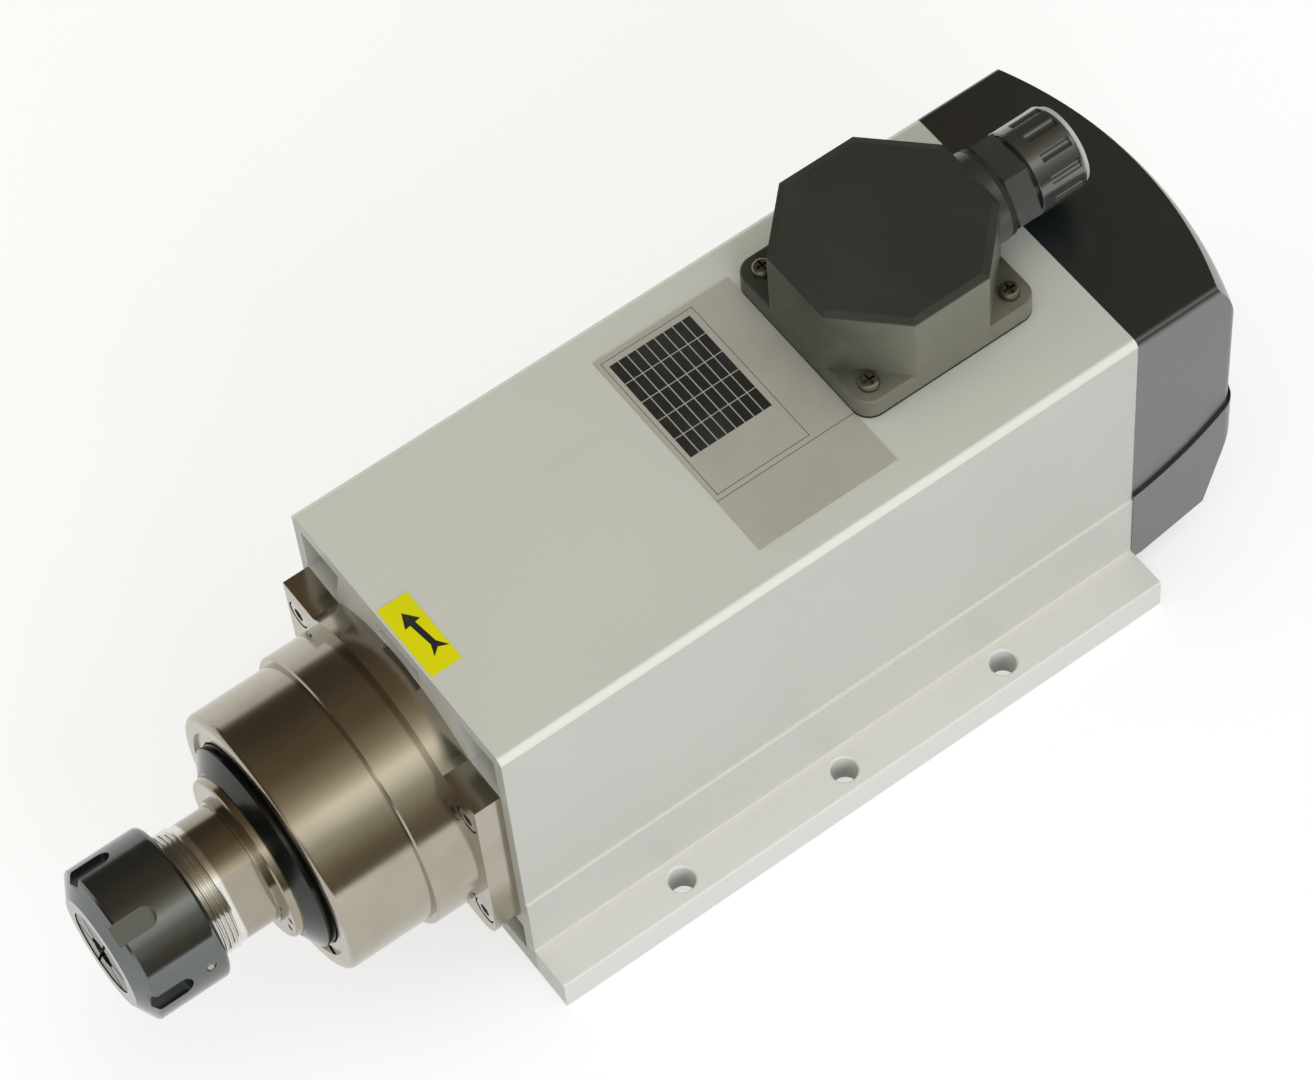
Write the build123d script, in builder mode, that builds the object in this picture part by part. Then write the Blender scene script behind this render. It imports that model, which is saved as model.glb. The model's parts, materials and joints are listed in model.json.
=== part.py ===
from build123d import *
import os
from math import cos, radians, sin, sqrt, tan

os.makedirs("parts", exist_ok=True)

# Square air-cooled motor spindle on a flanged base. Millimetres, +Z up.
# The origin is the middle of the base's fixing holes, on the mounting face.
# The nose points along -Y, and the spindle axis is parallel to Y at axis_height.

# Fits
face_gap = 0.05          # round static fits, radial
running_gap = 0.10       # round running fits, radial
free_gap = 0.5           # clearance beside turning parts

# Nose sleeve: the bore, the housing and the rings grow with it
nose_diameter = 86.0
nose_length = 27.8
nose_round = 2.0
nose_wall = 5.5          # outside the retaining ring's thread
sleeve_inset = 5.0       # from the nose's outside to the sleeve's body
sleeve_shoulder = 5.0
nose_screw = 4.0
nose_screws = 6
nose_screw_bite = 8.0

# Housing extrusion
spigot_rise = 2.0        # from the nose's outside to the housing's bore
bore_wall = 6.75         # thinnest wall beside the bore
bore_roof = 17.0         # from the bore to the roof
bore_floor = 15.5        # from the bore to the mounting face
body_length = 223.0
body_edge_radius = 2.5
side_wall = 4.0
roof_wall = 5.3
floor_wall = 7.0
side_ledge_width = 0.6
side_ledge_height = 40.0
base_width = 134.0
base_thickness = 12.0
base_edge_radius = 0.8
channel_drop = 6.2       # from the bore's top down to the web of a corner channel
channel_web_inset = 11.5 # from the bore's side to that web's inner end
channel_roof_inset = 16.2
duct_width = 22.0
duct_gap = 4.5           # from the bore to the floor of the wire duct

# Fixing holes in the base
fixing_hole = 8.4
fixing_edge = 7.5        # from a hole's axis to the base's long edge
fixing_pitch = 60.0
fixing_first = 48.0      # from the front face to the first hole
fixing_bevel = 0.5

# Front flange
flange_thickness = 8.8
flange_inset = 3.75      # from the housing's side to the flange's flat
flange_rim = 5.0         # from the housing's bore to the flange's edge
ear_height = 76.0
ear_round = 9.0
ear_screw = 5.0
ear_screw_inset = 5.5    # from the flange's flat side
ear_screw_drop = 11.0    # from the ear's top or bottom edge
ear_screw_length = 18.0
ear_screw_recess = 5.2
shoulder_rise = 2.3      # from the nose's outside to the shoulder's
shoulder_length = 15.4
spigot_length = 6.0
rim_chamfer = 0.5

# Retaining ring in the nose
retainer_wall = 3.5      # outside the dust ring
retainer_recess = 1.0
retainer_slots = 4
retainer_slot_width = 4.0
retainer_slot_depth = 1.8
retainer_bore = 48.0

# Front bearing pair
front_bore = 35.0
front_outer = 62.0
front_width = 14.0
front_ball = 8.0
front_balls = 14
bearing_setback = 8.0    # from the nose front to the first bearing
spacer_length = 8.0
locknut_diameter = 50.0
locknut_width = 9.0
locknut_lip_width = 1.0
locknut_land = 2.0       # what a spanner slot leaves of the locknut's width

# Rear bearing
rear_bore = 25.0
rear_outer = 52.0
rear_width = 15.0
rear_ball = 7.9
rear_balls = 9
rear_bearing_setback = 1.0
rear_bearing_shoulder = 2.0
groove_depth_share = 0.28  # of a ball, in each ring
cage_width_share = 1.3     # of a ball
cage_wall_share = 0.28     # of a ball

# Shaft
shaft_diameter = 38.6
thread_diameter = 40.0
thread_pitch = 1.5
thread_depth = 0.8
thread_length = 26.0
nose_reach = 46.0        # from the nose front to the shaft's front face
collar_diameter = 41.0
collar_width = 1.5
flat_across = 33.5
flat_length = 12.0
flat_turn = 61.5         # degrees from the top towards +X
dust_seat = 37.0
body_seat = 34.0
core_seat = 32.0
fan_seat = 16.0
relief_bore = 12.0
relief_depth = 20.0
shaft_tail = 4.0         # shaft behind the fan

# Rings in front of the nose
balance_ring_diameter = 53.0
balance_ring_width = 2.6
balance_hole = 2.2
balance_hole_inset = 3.0 # from the balance ring's edge
balance_hole_turns = (96.0, 112.0, 236.0)
dust_ring_width = 1.8    # cylindrical stretch in front of the nose
dust_ring_sunk = 3.5     # stretch inside the retaining ring
dust_cone_length = 3.5
dust_cone_front = 55.0
dust_hub = 43.0

# Collet chuck
taper_half_angle = 8.0
taper_mouth = 32.6
taper_depth = 36.0
collet_length = 40.0
collet_bore = 10.0
collet_face = 27.0
collet_cone_length = 4.0
collet_cone_angle = 30.0
collet_groove_diameter = 29.2
collet_groove_width = 2.0
collet_slit = 1.0
collet_slits = 6
collet_slit_turn = 7.5
collet_sunk = 0.3        # the collet's face behind the nut's
collet_slit_stop = 7.0
nut_diameter = 50.0
nut_length = 24.4
nut_overhang = 7.0       # nut's front edge ahead of the shaft's front face
nut_crown = 3.5          # how far the nut's face rises ahead of its front edge
nut_crown_face = 36.0
nut_round = 2.0
nut_chamfer = 0.7
nut_seat_gap = 0.3       # from the shaft's face to the nut's cavity
nut_slots = 6
nut_slot_width = 6.6
nut_slot_length = 12.0
nut_slot_depth = 3.0
nut_slot_turn = 24.5     # degrees from the top towards +X
nut_mark_hole = 3.4
nut_mark_depth = 1.2
nut_mark_setback = 18.3
nut_mark_turn = 82.0
nut_ring_outer = 34.6
nut_ring_inner = 29.8
nut_ring_width = 1.6

# Motor
stack_length = 105.0
stack_setback = 45.0     # from the housing front to the laminations
stator_inner = 51.0
stator_slots = 24
stator_slot_width = 3.2
stator_slot_depth = 11.0
stator_slot_lip = 1.0
winding_overhang = 22.0
winding_wall = 13.0
winding_middle = 31.5    # from the axis to the leads
slot_liner = 0.2
air_gap = 0.5
end_ring_width = 7.0
end_ring_wall = 7.5

# Rear end bell and fan
bell_inset = 21.0
bell_plate = 5.0
bell_bore = 28.0
spring_width = 2.0
spring_wall = 4.0
fan_diameter = 74.0
fan_width = 18.0
fan_disc = 2.0
fan_blades = 9
fan_blade = 2.0
fan_blade_root = 1.0     # how deep a blade stands in the hub
fan_blade_turn = 20.0
fan_hub = 30.0
fan_setback = 8.0
fan_ring_width = 2.0
fan_ring_wall = 3.0

# Fan cover
cover_wall = 2.5
cover_depth = 47.0
cover_roof_depth = 40.3
cover_arc = 135.0
cover_corner = 3.0
cover_bottom = 7.8       # at the housing
cover_bottom_rise = 11.5 # from the housing to the rear
cover_round_drop = 22.5  # from the roof down to the upright rear face
cover_knee = 45.0        # height below which the rear face leans in
cover_heel = 10.5        # how far it leans in at the bottom
cover_ledge = 1.0
cover_ledge_front = 42.2 # height of the ledge at the housing
cover_ledge_rear = 72.6
cover_ledge_curve = 75.0
grille_diameter = 68.0
grille_slot = 3.6
grille_pitch = 6.8
grille_slots = 9
grille_rib = 5.0
grille_depth = 13.0
cover_screw = 4.0
cover_screw_offset = 32.0
cover_screw_head = 7.6
cover_screw_seat = 20.0  # from the end bell to the seat of a screw's head
cover_boss = 11.0

# Terminal box
box_width = 63.2
box_offset_x = -6.0
box_setback = 176.7      # from the housing front to the box's middle
box_height = 33.5
box_plate = 6.8
box_corner = 6.0
box_edge_round = 0.8
box_cut = 18.4
box_wall = 3.0
box_bevel_width = 2.4
box_bevel_height = 0.8
box_gasket = 1.0
box_gasket_width = 3.5
box_screw = 3.5
box_screw_head = 6.4
box_screw_inset = 6.4
roof_screw_bite = 4.5
box_boss = 29.0
box_boss_reach = 3.5
lead_hole = 18.0
block_length = 26.0
block_width = 12.0
block_height = 9.0
block_setback = 17.0     # from the box's middle towards the nose
stud = 3.0
stud_pitch = 7.0
stud_height = 8.0
stud_sunk = 5.0
stud_nut = 5.5
stud_nut_height = 2.4
lead = 2.8
lead_bend = 3.0
lug_length = 6.0
lug_width = 5.4
lug_thickness = 1.2
earth_screw_inset = 11.6    # from the box's left side
earth_screw_setback = 17.6  # from the box's front
earth_screw = 4.0
earth_screw_head = 7.6

# Cable gland
gland_height = 141.5
gland_thread = 20.0
gland_washer = 28.6
gland_washer_width = 1.0
gland_hex = 27.0
gland_hex_width = 8.0
gland_neck_width = 1.6
gland_tip_thread = 23.6
gland_tip_length = 10.1
gland_thread_root = 1.0  # how deep the hexagon reaches into the threaded stem
gland_bore = 19.0
dome_diameter = 27.8
dome_length = 16.6
dome_thread_length = 11.1
dome_opening = 22.6
dome_round = 1.5
dome_ribs = 12
dome_groove = 4.2
dome_groove_depth = 0.9
dome_collar = 4.4        # plain stretch beside the hexagon
dome_crown = 1.7         # plain stretch at the far end
cable_bore = 15.0
seal_length = 8.0
thrust_ring_rim = 25.2
thrust_ring_rim_width = 1.2
thrust_ring_wall = 3.2

# Labels
plate_width = 80.0
plate_length = 48.3
plate_gap = 0.1          # between the plate and the terminal box
plate_offset_x = 0.4
plate_thickness = 0.4
label_width = 27.0
label_length = 10.3
label_setback = 0.8
label_offset_x = 3.9
label_thickness = 0.2

# Diameters and widths that follow the nose
sleeve_body = nose_diameter - 2 * sleeve_inset
shoulder_diameter = nose_diameter + 2 * shoulder_rise
retainer_thread = nose_diameter - 2 * nose_wall
dust_ring_diameter = retainer_thread - 2 * (retainer_wall + free_gap)
stator_bore = nose_diameter + 2 * spigot_rise
bore_radius = stator_bore / 2
body_width = stator_bore + 2 * bore_wall
axis_height = bore_radius + bore_floor
body_height = axis_height + bore_radius + bore_roof
channel_rise = bore_radius - channel_drop
channel_web_x = bore_radius - channel_web_inset
channel_roof_x = bore_radius - channel_roof_inset
duct_rise = bore_radius + duct_gap
flange_width = body_width - 2 * flange_inset
flange_disc = stator_bore + 2 * flange_rim

# Stations along Y, from the nose to the fan cover
front_y = -(fixing_first + fixing_pitch)
rear_y = front_y + body_length
flange_front = front_y - flange_thickness
shoulder_front = flange_front - shoulder_length
nose_front = shoulder_front - nose_length
bearing_a_y = nose_front + bearing_setback
spacer_y = bearing_a_y + front_width
bearing_b_y = spacer_y + spacer_length
locknut_y = bearing_b_y + front_width
locknut_rear = locknut_y + locknut_width
sleeve_rear = locknut_y + sleeve_shoulder
shaft_front = nose_front - nose_reach
thread_rear = shaft_front + thread_length
dust_front = nose_front - dust_ring_width
dust_cone_y = dust_front - dust_cone_length
balance_front = dust_cone_y - balance_ring_width
collar_front = balance_front - collar_width
stack_front = front_y + stack_setback
stack_rear = stack_front + stack_length
winding_rear = stack_rear + winding_overhang
bell_front = rear_y - bell_inset
rear_bearing_y = bell_front + rear_bearing_setback
spring_y = rear_bearing_y + rear_width
bell_wall_y = spring_y + spring_width
bell_rear = rear_y + bell_plate
fan_front = bell_rear + fan_setback
fan_rear = fan_front + fan_width
fan_ring_rear = fan_rear + fan_ring_width
shaft_rear = fan_ring_rear + shaft_tail
cover_rear = rear_y + cover_depth
nut_front = shaft_front - nut_overhang
nut_rear = nut_front + nut_length
nut_crown_front = nut_front - nut_crown
collet_front = nut_crown_front + collet_sunk
collet_rear = collet_front + collet_length

# Heights and places of the terminal box and gland
roof_z = body_height
roof_inner = roof_z - roof_wall
box_y = front_y + box_setback
box_floor = roof_z + box_gasket
box_ledge = box_floor + box_plate
box_top = roof_z + box_height
box_front = box_y - box_width / 2
box_screw_offset = box_width / 2 - box_screw_inset
earth_screw_x = earth_screw_inset - box_width / 2
earth_screw_y = earth_screw_setback - box_width / 2
plate_rear = box_front - plate_gap
boss_end = box_y + box_width / 2 + box_boss_reach
hex_y = boss_end + 2 * gland_washer_width
neck_y = hex_y + gland_hex_width
dome_y = neck_y + gland_neck_width
dome_end = dome_y + dome_length
tip_end = dome_y + gland_tip_length

# Shared cross sections
ear_screw_x = flange_width / 2 - ear_screw_inset
ear_screw_z = ear_height / 2 - ear_screw_drop
fixing_x = base_width / 2 - fixing_edge
sleeve_radius = sleeve_body / 2
nose_screw_circle = (sleeve_body + nose_diameter) / 4
retainer_radius = retainer_thread / 2
dust_radius = dust_ring_diameter / 2
corner_signs = [(1, 1), (-1, 1), (-1, -1), (1, -1)]

spindle_axis = Axis((0, 0, axis_height), (0, 1, 0))
turning_plane = Plane(origin=(0, 0, axis_height), x_dir=(0, 1, 0), z_dir=(1, 0, 0))
gland_axis = Axis((box_offset_x, 0, gland_height), (0, 1, 0))
gland_plane = Plane(origin=(box_offset_x, 0, gland_height), x_dir=(0, 1, 0), z_dir=(1, 0, 0))


def facing_front(y, height=axis_height, x=0.0):
    """Plane across the spindle axis with its normal towards the nose: X right, Z up."""
    return Plane(origin=(x, y, height), x_dir=(1, 0, 0), z_dir=(0, -1, 0))


def facing_rear(y, height=axis_height, x=0.0):
    """Plane across the spindle axis with its normal towards the fan cover."""
    return Plane(origin=(x, y, height), x_dir=(1, 0, 0), z_dir=(0, 1, 0))


def facing_out(turn, radius, y=0.0):
    """Plane that touches a circle about the spindle axis, its X along Y, its normal outward."""
    out = (sin(radians(turn)), 0, cos(radians(turn)))
    place = (radius * out[0], y, axis_height + radius * out[2])
    return Plane(origin=place, x_dir=(0, 1, 0), z_dir=out)


def turned_face(*corners, plane=turning_plane):
    """Half section to turn about an axis along Y, with corners given as (y, radius)."""
    with BuildSketch(plane) as section:
        with BuildLine():
            Polyline(*corners, close=True)
        make_face()
    return section.sketch


def ring_face(start, end, inner, outer, plane=turning_plane):
    """Half section of a plain ring from start to end along Y."""
    return turned_face((start, inner), (end, inner), (end, outer), (start, outer), plane=plane)


def socket_screw(thread, length):
    """Socket head screw along the plane's normal, with its head behind the plane."""
    with BuildPart() as screw:
        Cylinder(thread * 0.8, thread, align=(Align.CENTER, Align.CENTER, Align.MAX))
        with BuildSketch(Plane.XY.offset(-thread)):
            RegularPolygon(thread * 0.46, 6)
        extrude(amount=thread * 0.55, mode=Mode.SUBTRACT)
        Cylinder(thread / 2, length, align=(Align.CENTER, Align.CENTER, Align.MIN))
    return screw.part


def cross_screw(thread, length, head):
    """Pan head screw with a cross recess, with its head behind the plane."""
    rise = head * 0.36
    with BuildPart() as screw:
        Cylinder(head / 2, rise, align=(Align.CENTER, Align.CENTER, Align.MAX))
        fillet(screw.edges().sort_by(Axis.Z)[0], rise * 0.6)
        with BuildSketch(Plane.XY.offset(-rise)):
            Rectangle(head * 0.6, head * 0.13)
            Rectangle(head * 0.13, head * 0.6)
        extrude(amount=rise * 0.7, mode=Mode.SUBTRACT)
        Cylinder(thread / 2, length, align=(Align.CENTER, Align.CENTER, Align.MIN))
    return screw.part


# Housing: one extrusion with four corner air channels and a wire duct
side_inner = body_width / 2 - side_wall
with BuildPart() as housing:
    with BuildSketch(facing_front(front_y, 0)) as section:
        with Locations((0, body_height / 2)):
            Rectangle(body_width, body_height)
        fillet(section.vertices().group_by(Axis.Y)[-1], body_edge_radius)
        with Locations((0, side_ledge_height / 2)):
            Rectangle(body_width + 2 * side_ledge_width, side_ledge_height)
        with Locations((0, base_thickness / 2)):
            Rectangle(base_width, base_thickness)
        ledges = section.vertices().filter_by_position(Axis.Y, base_thickness, base_thickness)
        fillet(ledges.group_by(Axis.X)[0] + ledges.group_by(Axis.X)[-1], base_edge_radius)
        for side, up in corner_signs:
            web_z = axis_height + up * channel_rise
            far_z = roof_inner if up > 0 else floor_wall
            with BuildLine():
                Polyline((side * channel_web_x, web_z), (side * side_inner, web_z),
                         (side * side_inner, far_z), (side * channel_roof_x, far_z), close=True)
            make_face(mode=Mode.SUBTRACT)
        with Locations((0, (axis_height + duct_rise + roof_inner) / 2)):
            Rectangle(duct_width, roof_inner - axis_height - duct_rise, mode=Mode.SUBTRACT)
        with Locations((0, axis_height)):
            Circle(bore_radius, mode=Mode.SUBTRACT)
    extrude(amount=-body_length)
    with Locations(Plane.XY.offset(base_thickness)):
        with GridLocations(2 * fixing_x, fixing_pitch, 2, 3):
            CounterSinkHole(fixing_hole / 2, fixing_hole / 2 + fixing_bevel, base_thickness)
    with BuildSketch(facing_front(front_y), facing_rear(rear_y)):
        with GridLocations(2 * ear_screw_x, 2 * ear_screw_z, 2, 2):
            Circle(ear_screw / 2 + face_gap)
    extrude(amount=-ear_screw_length, mode=Mode.SUBTRACT)
    with BuildSketch(Plane.XY.offset(roof_z)):
        with Locations((box_offset_x, box_y)):
            Circle(lead_hole / 2)
    extrude(amount=axis_height - roof_z, mode=Mode.SUBTRACT)
    with BuildSketch(Plane.XY.offset(roof_z)):
        with Locations((box_offset_x, box_y)):
            with GridLocations(2 * box_screw_offset, 2 * box_screw_offset, 2, 2):
                Circle(box_screw / 2 + face_gap)
            with Locations((earth_screw_x, earth_screw_y)):
                Circle(earth_screw / 2 + face_gap)
    extrude(amount=-roof_wall, mode=Mode.SUBTRACT)
housing.part.label = "housing"
export_step(housing.part, "parts/housing.step")

# Front flange: a disc with two flat sides, four ears, a shoulder and a spigot
with BuildPart() as front_flange:
    with BuildSketch(facing_front(flange_front)):
        Circle(flange_disc / 2)
        Rectangle(flange_width, flange_disc, mode=Mode.INTERSECT)
    extrude(amount=-flange_thickness)
    with BuildSketch(facing_front(flange_front)) as ears:
        Rectangle(flange_width, ear_height)
        fillet(ears.vertices().group_by(Axis.Y)[0], ear_round)
    extrude(amount=-flange_thickness)
    revolve(turned_face((front_y, sleeve_radius), (shoulder_front, sleeve_radius),
                        (shoulder_front, shoulder_diameter / 2 - rim_chamfer),
                        (shoulder_front + rim_chamfer, shoulder_diameter / 2),
                        (front_y, shoulder_diameter / 2)), axis=spindle_axis)
    revolve(ring_face(front_y, front_y + spigot_length, sleeve_radius,
                      bore_radius - face_gap), axis=spindle_axis)
    revolve(ring_face(shoulder_front, front_y + spigot_length, 0, sleeve_radius + face_gap),
            axis=spindle_axis, mode=Mode.SUBTRACT)
    with BuildSketch(facing_front(flange_front)):
        with GridLocations(2 * ear_screw_x, 2 * ear_screw_z, 2, 2):
            Circle(ear_screw * 0.8 + free_gap)
    extrude(amount=-ear_screw_recess, mode=Mode.SUBTRACT)
    with BuildSketch(facing_front(flange_front)):
        with GridLocations(2 * ear_screw_x, 2 * ear_screw_z, 2, 2):
            Circle(ear_screw / 2 + face_gap)
    extrude(amount=-flange_thickness, mode=Mode.SUBTRACT)
    with BuildSketch(facing_front(front_y + spigot_length)):
        with PolarLocations(nose_screw_circle, nose_screws, start_angle=30):
            Circle(nose_screw / 2 + face_gap)
    extrude(amount=front_y + spigot_length - shoulder_front, mode=Mode.SUBTRACT)
    with BuildSketch(facing_front(front_y + spigot_length)):
        with PolarLocations(nose_screw_circle, nose_screws, start_angle=30):
            Circle(nose_screw * 0.8 + face_gap)
    extrude(amount=nose_screw, mode=Mode.SUBTRACT)
front_flange.part.label = "front_flange"
export_step(front_flange.part, "parts/front_flange.step")

with BuildPart(facing_rear(flange_front + ear_screw_recess)) as front_flange_screws:
    with GridLocations(2 * ear_screw_x, 2 * ear_screw_z, 2, 2):
        add(socket_screw(ear_screw, ear_screw_length))
front_flange_screws.part.label = "front_flange_screws"
export_step(front_flange_screws.part, "parts/front_flange_screws.step")

# Nose sleeve: it slides into the flange and holds both front bearings
nose_bite_front = shoulder_front - nose_screw_bite
with BuildPart() as nose_sleeve:
    revolve(turned_face((nose_front, retainer_radius), (nose_front, nose_diameter / 2),
                        (shoulder_front, nose_diameter / 2), (shoulder_front, sleeve_radius),
                        (sleeve_rear, sleeve_radius), (sleeve_rear, locknut_diameter / 2 + free_gap),
                        (locknut_y, locknut_diameter / 2 + free_gap),
                        (locknut_y, front_outer / 2 + face_gap),
                        (bearing_a_y, front_outer / 2 + face_gap),
                        (bearing_a_y, retainer_radius)), axis=spindle_axis)
    front_edges = nose_sleeve.edges().group_by(Axis.Y)[0]
    fillet(front_edges.sort_by(SortBy.RADIUS)[-1], nose_round)
    with BuildSketch(facing_front(shoulder_front)):
        with PolarLocations(nose_screw_circle, nose_screws, start_angle=30):
            Circle(nose_screw / 2 + face_gap)
    extrude(amount=nose_screw_bite, mode=Mode.SUBTRACT)
nose_sleeve.part.label = "nose_sleeve"
export_step(nose_sleeve.part, "parts/nose_sleeve.step")

nose_screw_seat = front_y + spigot_length - nose_screw
with BuildPart(facing_front(nose_screw_seat)) as nose_sleeve_screws:
    with PolarLocations(nose_screw_circle, nose_screws, start_angle=30):
        add(socket_screw(nose_screw, nose_screw_seat - nose_bite_front))
nose_sleeve_screws.part.label = "nose_sleeve_screws"
export_step(nose_sleeve_screws.part, "parts/nose_sleeve_screws.step")

# Retaining ring with four spanner slots, recessed round the dust ring
dust_rear = nose_front + dust_ring_sunk
retainer_front = nose_front + retainer_recess
with BuildPart() as bearing_retaining_ring:
    revolve(turned_face((retainer_front, dust_radius + free_gap),
                        (retainer_front, retainer_radius - face_gap),
                        (bearing_a_y, retainer_radius - face_gap),
                        (bearing_a_y, retainer_bore / 2),
                        (dust_rear + free_gap, retainer_bore / 2),
                        (dust_rear + free_gap, dust_radius + free_gap)), axis=spindle_axis)
    with BuildSketch(facing_front(retainer_front)):
        with PolarLocations(retainer_radius, retainer_slots, start_angle=45):
            Rectangle(retainer_radius - dust_radius, retainer_slot_width)
    extrude(amount=-retainer_slot_depth, mode=Mode.SUBTRACT)
bearing_retaining_ring.part.label = "bearing_retaining_ring"
export_step(bearing_retaining_ring.part, "parts/bearing_retaining_ring.step")


def make_bearing(name, start, bore, outer, width, ball, count):
    """Ball bearing about the spindle axis: two rings, a cage and its balls."""
    middle = start + width / 2
    ball_circle = (bore + outer) / 4
    shoulder = (0.5 - groove_depth_share) * ball
    with BuildSketch(turning_plane) as race:
        with Locations((middle, ball_circle)):
            Circle(ball / 2 + face_gap)
    with BuildPart() as inner_ring:
        revolve(ring_face(start, start + width, bore / 2, ball_circle - shoulder),
                axis=spindle_axis)
        revolve(race.sketch, axis=spindle_axis, mode=Mode.SUBTRACT)
    inner_ring.part.label = f"{name}_inner_ring"
    export_step(inner_ring.part, f"parts/{name}_inner_ring.step")
    with BuildPart() as outer_ring:
        revolve(ring_face(start, start + width, ball_circle + shoulder, outer / 2),
                axis=spindle_axis)
        revolve(race.sketch, axis=spindle_axis, mode=Mode.SUBTRACT)
    outer_ring.part.label = f"{name}_outer_ring"
    export_step(outer_ring.part, f"parts/{name}_outer_ring.step")
    with BuildPart(facing_front(middle)) as balls:
        with PolarLocations(ball_circle, count):
            Sphere(ball / 2)
    balls.part.label = f"{name}_balls"
    export_step(balls.part, f"parts/{name}_balls.step")
    cage_reach = cage_width_share * ball / 2
    cage_half = cage_wall_share * ball / 2
    with BuildPart(facing_front(middle)) as cage:
        revolve(ring_face(middle - cage_reach, middle + cage_reach,
                          ball_circle - cage_half, ball_circle + cage_half),
                axis=spindle_axis)
        with PolarLocations(ball_circle, count):
            Cylinder(ball / 2 + running_gap, ball, rotation=(0, 90, 0), mode=Mode.SUBTRACT)
    cage.part.label = f"{name}_cage"
    export_step(cage.part, f"parts/{name}_cage.step")


make_bearing("front_bearing_a", bearing_a_y, front_bore, front_outer, front_width,
             front_ball, front_balls)
make_bearing("front_bearing_b", bearing_b_y, front_bore, front_outer, front_width,
             front_ball, front_balls)
make_bearing("rear_bearing", rear_bearing_y, rear_bore, rear_outer, rear_width,
             rear_ball, rear_balls)

# Spacers between the front bearings, and the nut that clamps their inner rings
front_wall = 0.1 * (front_outer - front_bore)
with BuildPart() as front_outer_spacer:
    revolve(ring_face(spacer_y, bearing_b_y, front_outer / 2 - 2 * front_wall, front_outer / 2),
            axis=spindle_axis)
front_outer_spacer.part.label = "front_outer_spacer"
export_step(front_outer_spacer.part, "parts/front_outer_spacer.step")

with BuildPart() as front_inner_spacer:
    revolve(ring_face(spacer_y, bearing_b_y, front_bore / 2, front_bore / 2 + front_wall),
            axis=spindle_axis)
front_inner_spacer.part.label = "front_inner_spacer"
export_step(front_inner_spacer.part, "parts/front_inner_spacer.step")

locknut_lip = front_bore / 2 + 2 * front_wall
with BuildPart() as front_bearing_locknut:
    revolve(turned_face((locknut_y, front_bore / 2), (locknut_y, locknut_lip),
                        (locknut_y + locknut_lip_width, locknut_lip),
                        (locknut_y + locknut_lip_width, locknut_diameter / 2),
                        (locknut_rear, locknut_diameter / 2), (locknut_rear, front_bore / 2)),
            axis=spindle_axis)
    with BuildSketch(facing_rear(locknut_rear)):
        with PolarLocations(locknut_diameter / 2, retainer_slots):
            Rectangle(retainer_slot_width, retainer_slot_width)
    extrude(amount=locknut_land - locknut_width, mode=Mode.SUBTRACT)
front_bearing_locknut.part.label = "front_bearing_locknut"
export_step(front_bearing_locknut.part, "parts/front_bearing_locknut.step")

# Shaft: taper and thread at the nose, seats stepping down to the fan
taper_slope = tan(radians(taper_half_angle))
taper_bottom = shaft_front + taper_depth
taper_bottom_radius = taper_mouth / 2 - taper_depth * taper_slope
thread_turns = int((thread_length - thread_pitch) / thread_pitch)
thread_outline = [(shaft_front, thread_diameter / 2 - thread_depth)]
for turn in range(thread_turns):
    crest_y = shaft_front + (turn + 0.6) * thread_pitch
    thread_outline.append((crest_y, thread_diameter / 2))
    thread_outline.append((crest_y + 0.15 * thread_pitch, thread_diameter / 2))
    thread_outline.append((crest_y + 0.5 * thread_pitch, thread_diameter / 2 - thread_depth))
core_seat_rear = bell_front - free_gap
rear_shoulder_radius = rear_bore / 2 + rear_bearing_shoulder
with BuildPart() as spindle_shaft:
    revolve(turned_face(
        (shaft_front, taper_mouth / 2), *thread_outline,
        (thread_rear, shaft_diameter / 2), (collar_front, shaft_diameter / 2),
        (collar_front, collar_diameter / 2), (balance_front, collar_diameter / 2),
        (balance_front, dust_seat / 2 - face_gap), (bearing_a_y, dust_seat / 2 - face_gap),
        (bearing_a_y, front_bore / 2 - face_gap), (locknut_rear, front_bore / 2 - face_gap),
        (locknut_rear, body_seat / 2), (stack_front - end_ring_width, body_seat / 2),
        (stack_front - end_ring_width, core_seat / 2 - face_gap),
        (core_seat_rear, core_seat / 2 - face_gap), (core_seat_rear, rear_shoulder_radius),
        (rear_bearing_y, rear_shoulder_radius), (rear_bearing_y, rear_bore / 2 - face_gap),
        (bell_rear, rear_bore / 2 - face_gap), (bell_rear, fan_seat / 2 - face_gap),
        (shaft_rear, fan_seat / 2 - face_gap), (shaft_rear, 0),
        (taper_bottom + relief_depth, 0), (taper_bottom + relief_depth, relief_bore / 2),
        (taper_bottom, relief_bore / 2), (taper_bottom, taper_bottom_radius)),
        axis=spindle_axis)
    flat_front = collar_front - flat_length
    for turn in (flat_turn, flat_turn + 180):
        with BuildSketch(facing_out(turn, flat_across / 2, flat_front + flat_length / 2)):
            Rectangle(flat_length, shaft_diameter)
        extrude(amount=shaft_diameter, mode=Mode.SUBTRACT)
spindle_shaft.part.label = "spindle_shaft"
export_step(spindle_shaft.part, "parts/spindle_shaft.step")

# Dust ring that runs in the nose, and the balance ring in front of it
with BuildPart() as labyrinth_ring:
    revolve(turned_face((dust_cone_y, dust_seat / 2), (dust_cone_y, dust_cone_front / 2),
                        (dust_front, dust_radius), (dust_rear, dust_radius),
                        (dust_rear, dust_hub / 2), (bearing_a_y, dust_hub / 2),
                        (bearing_a_y, dust_seat / 2)), axis=spindle_axis)
labyrinth_ring.part.label = "labyrinth_ring"
export_step(labyrinth_ring.part, "parts/labyrinth_ring.step")

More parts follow.
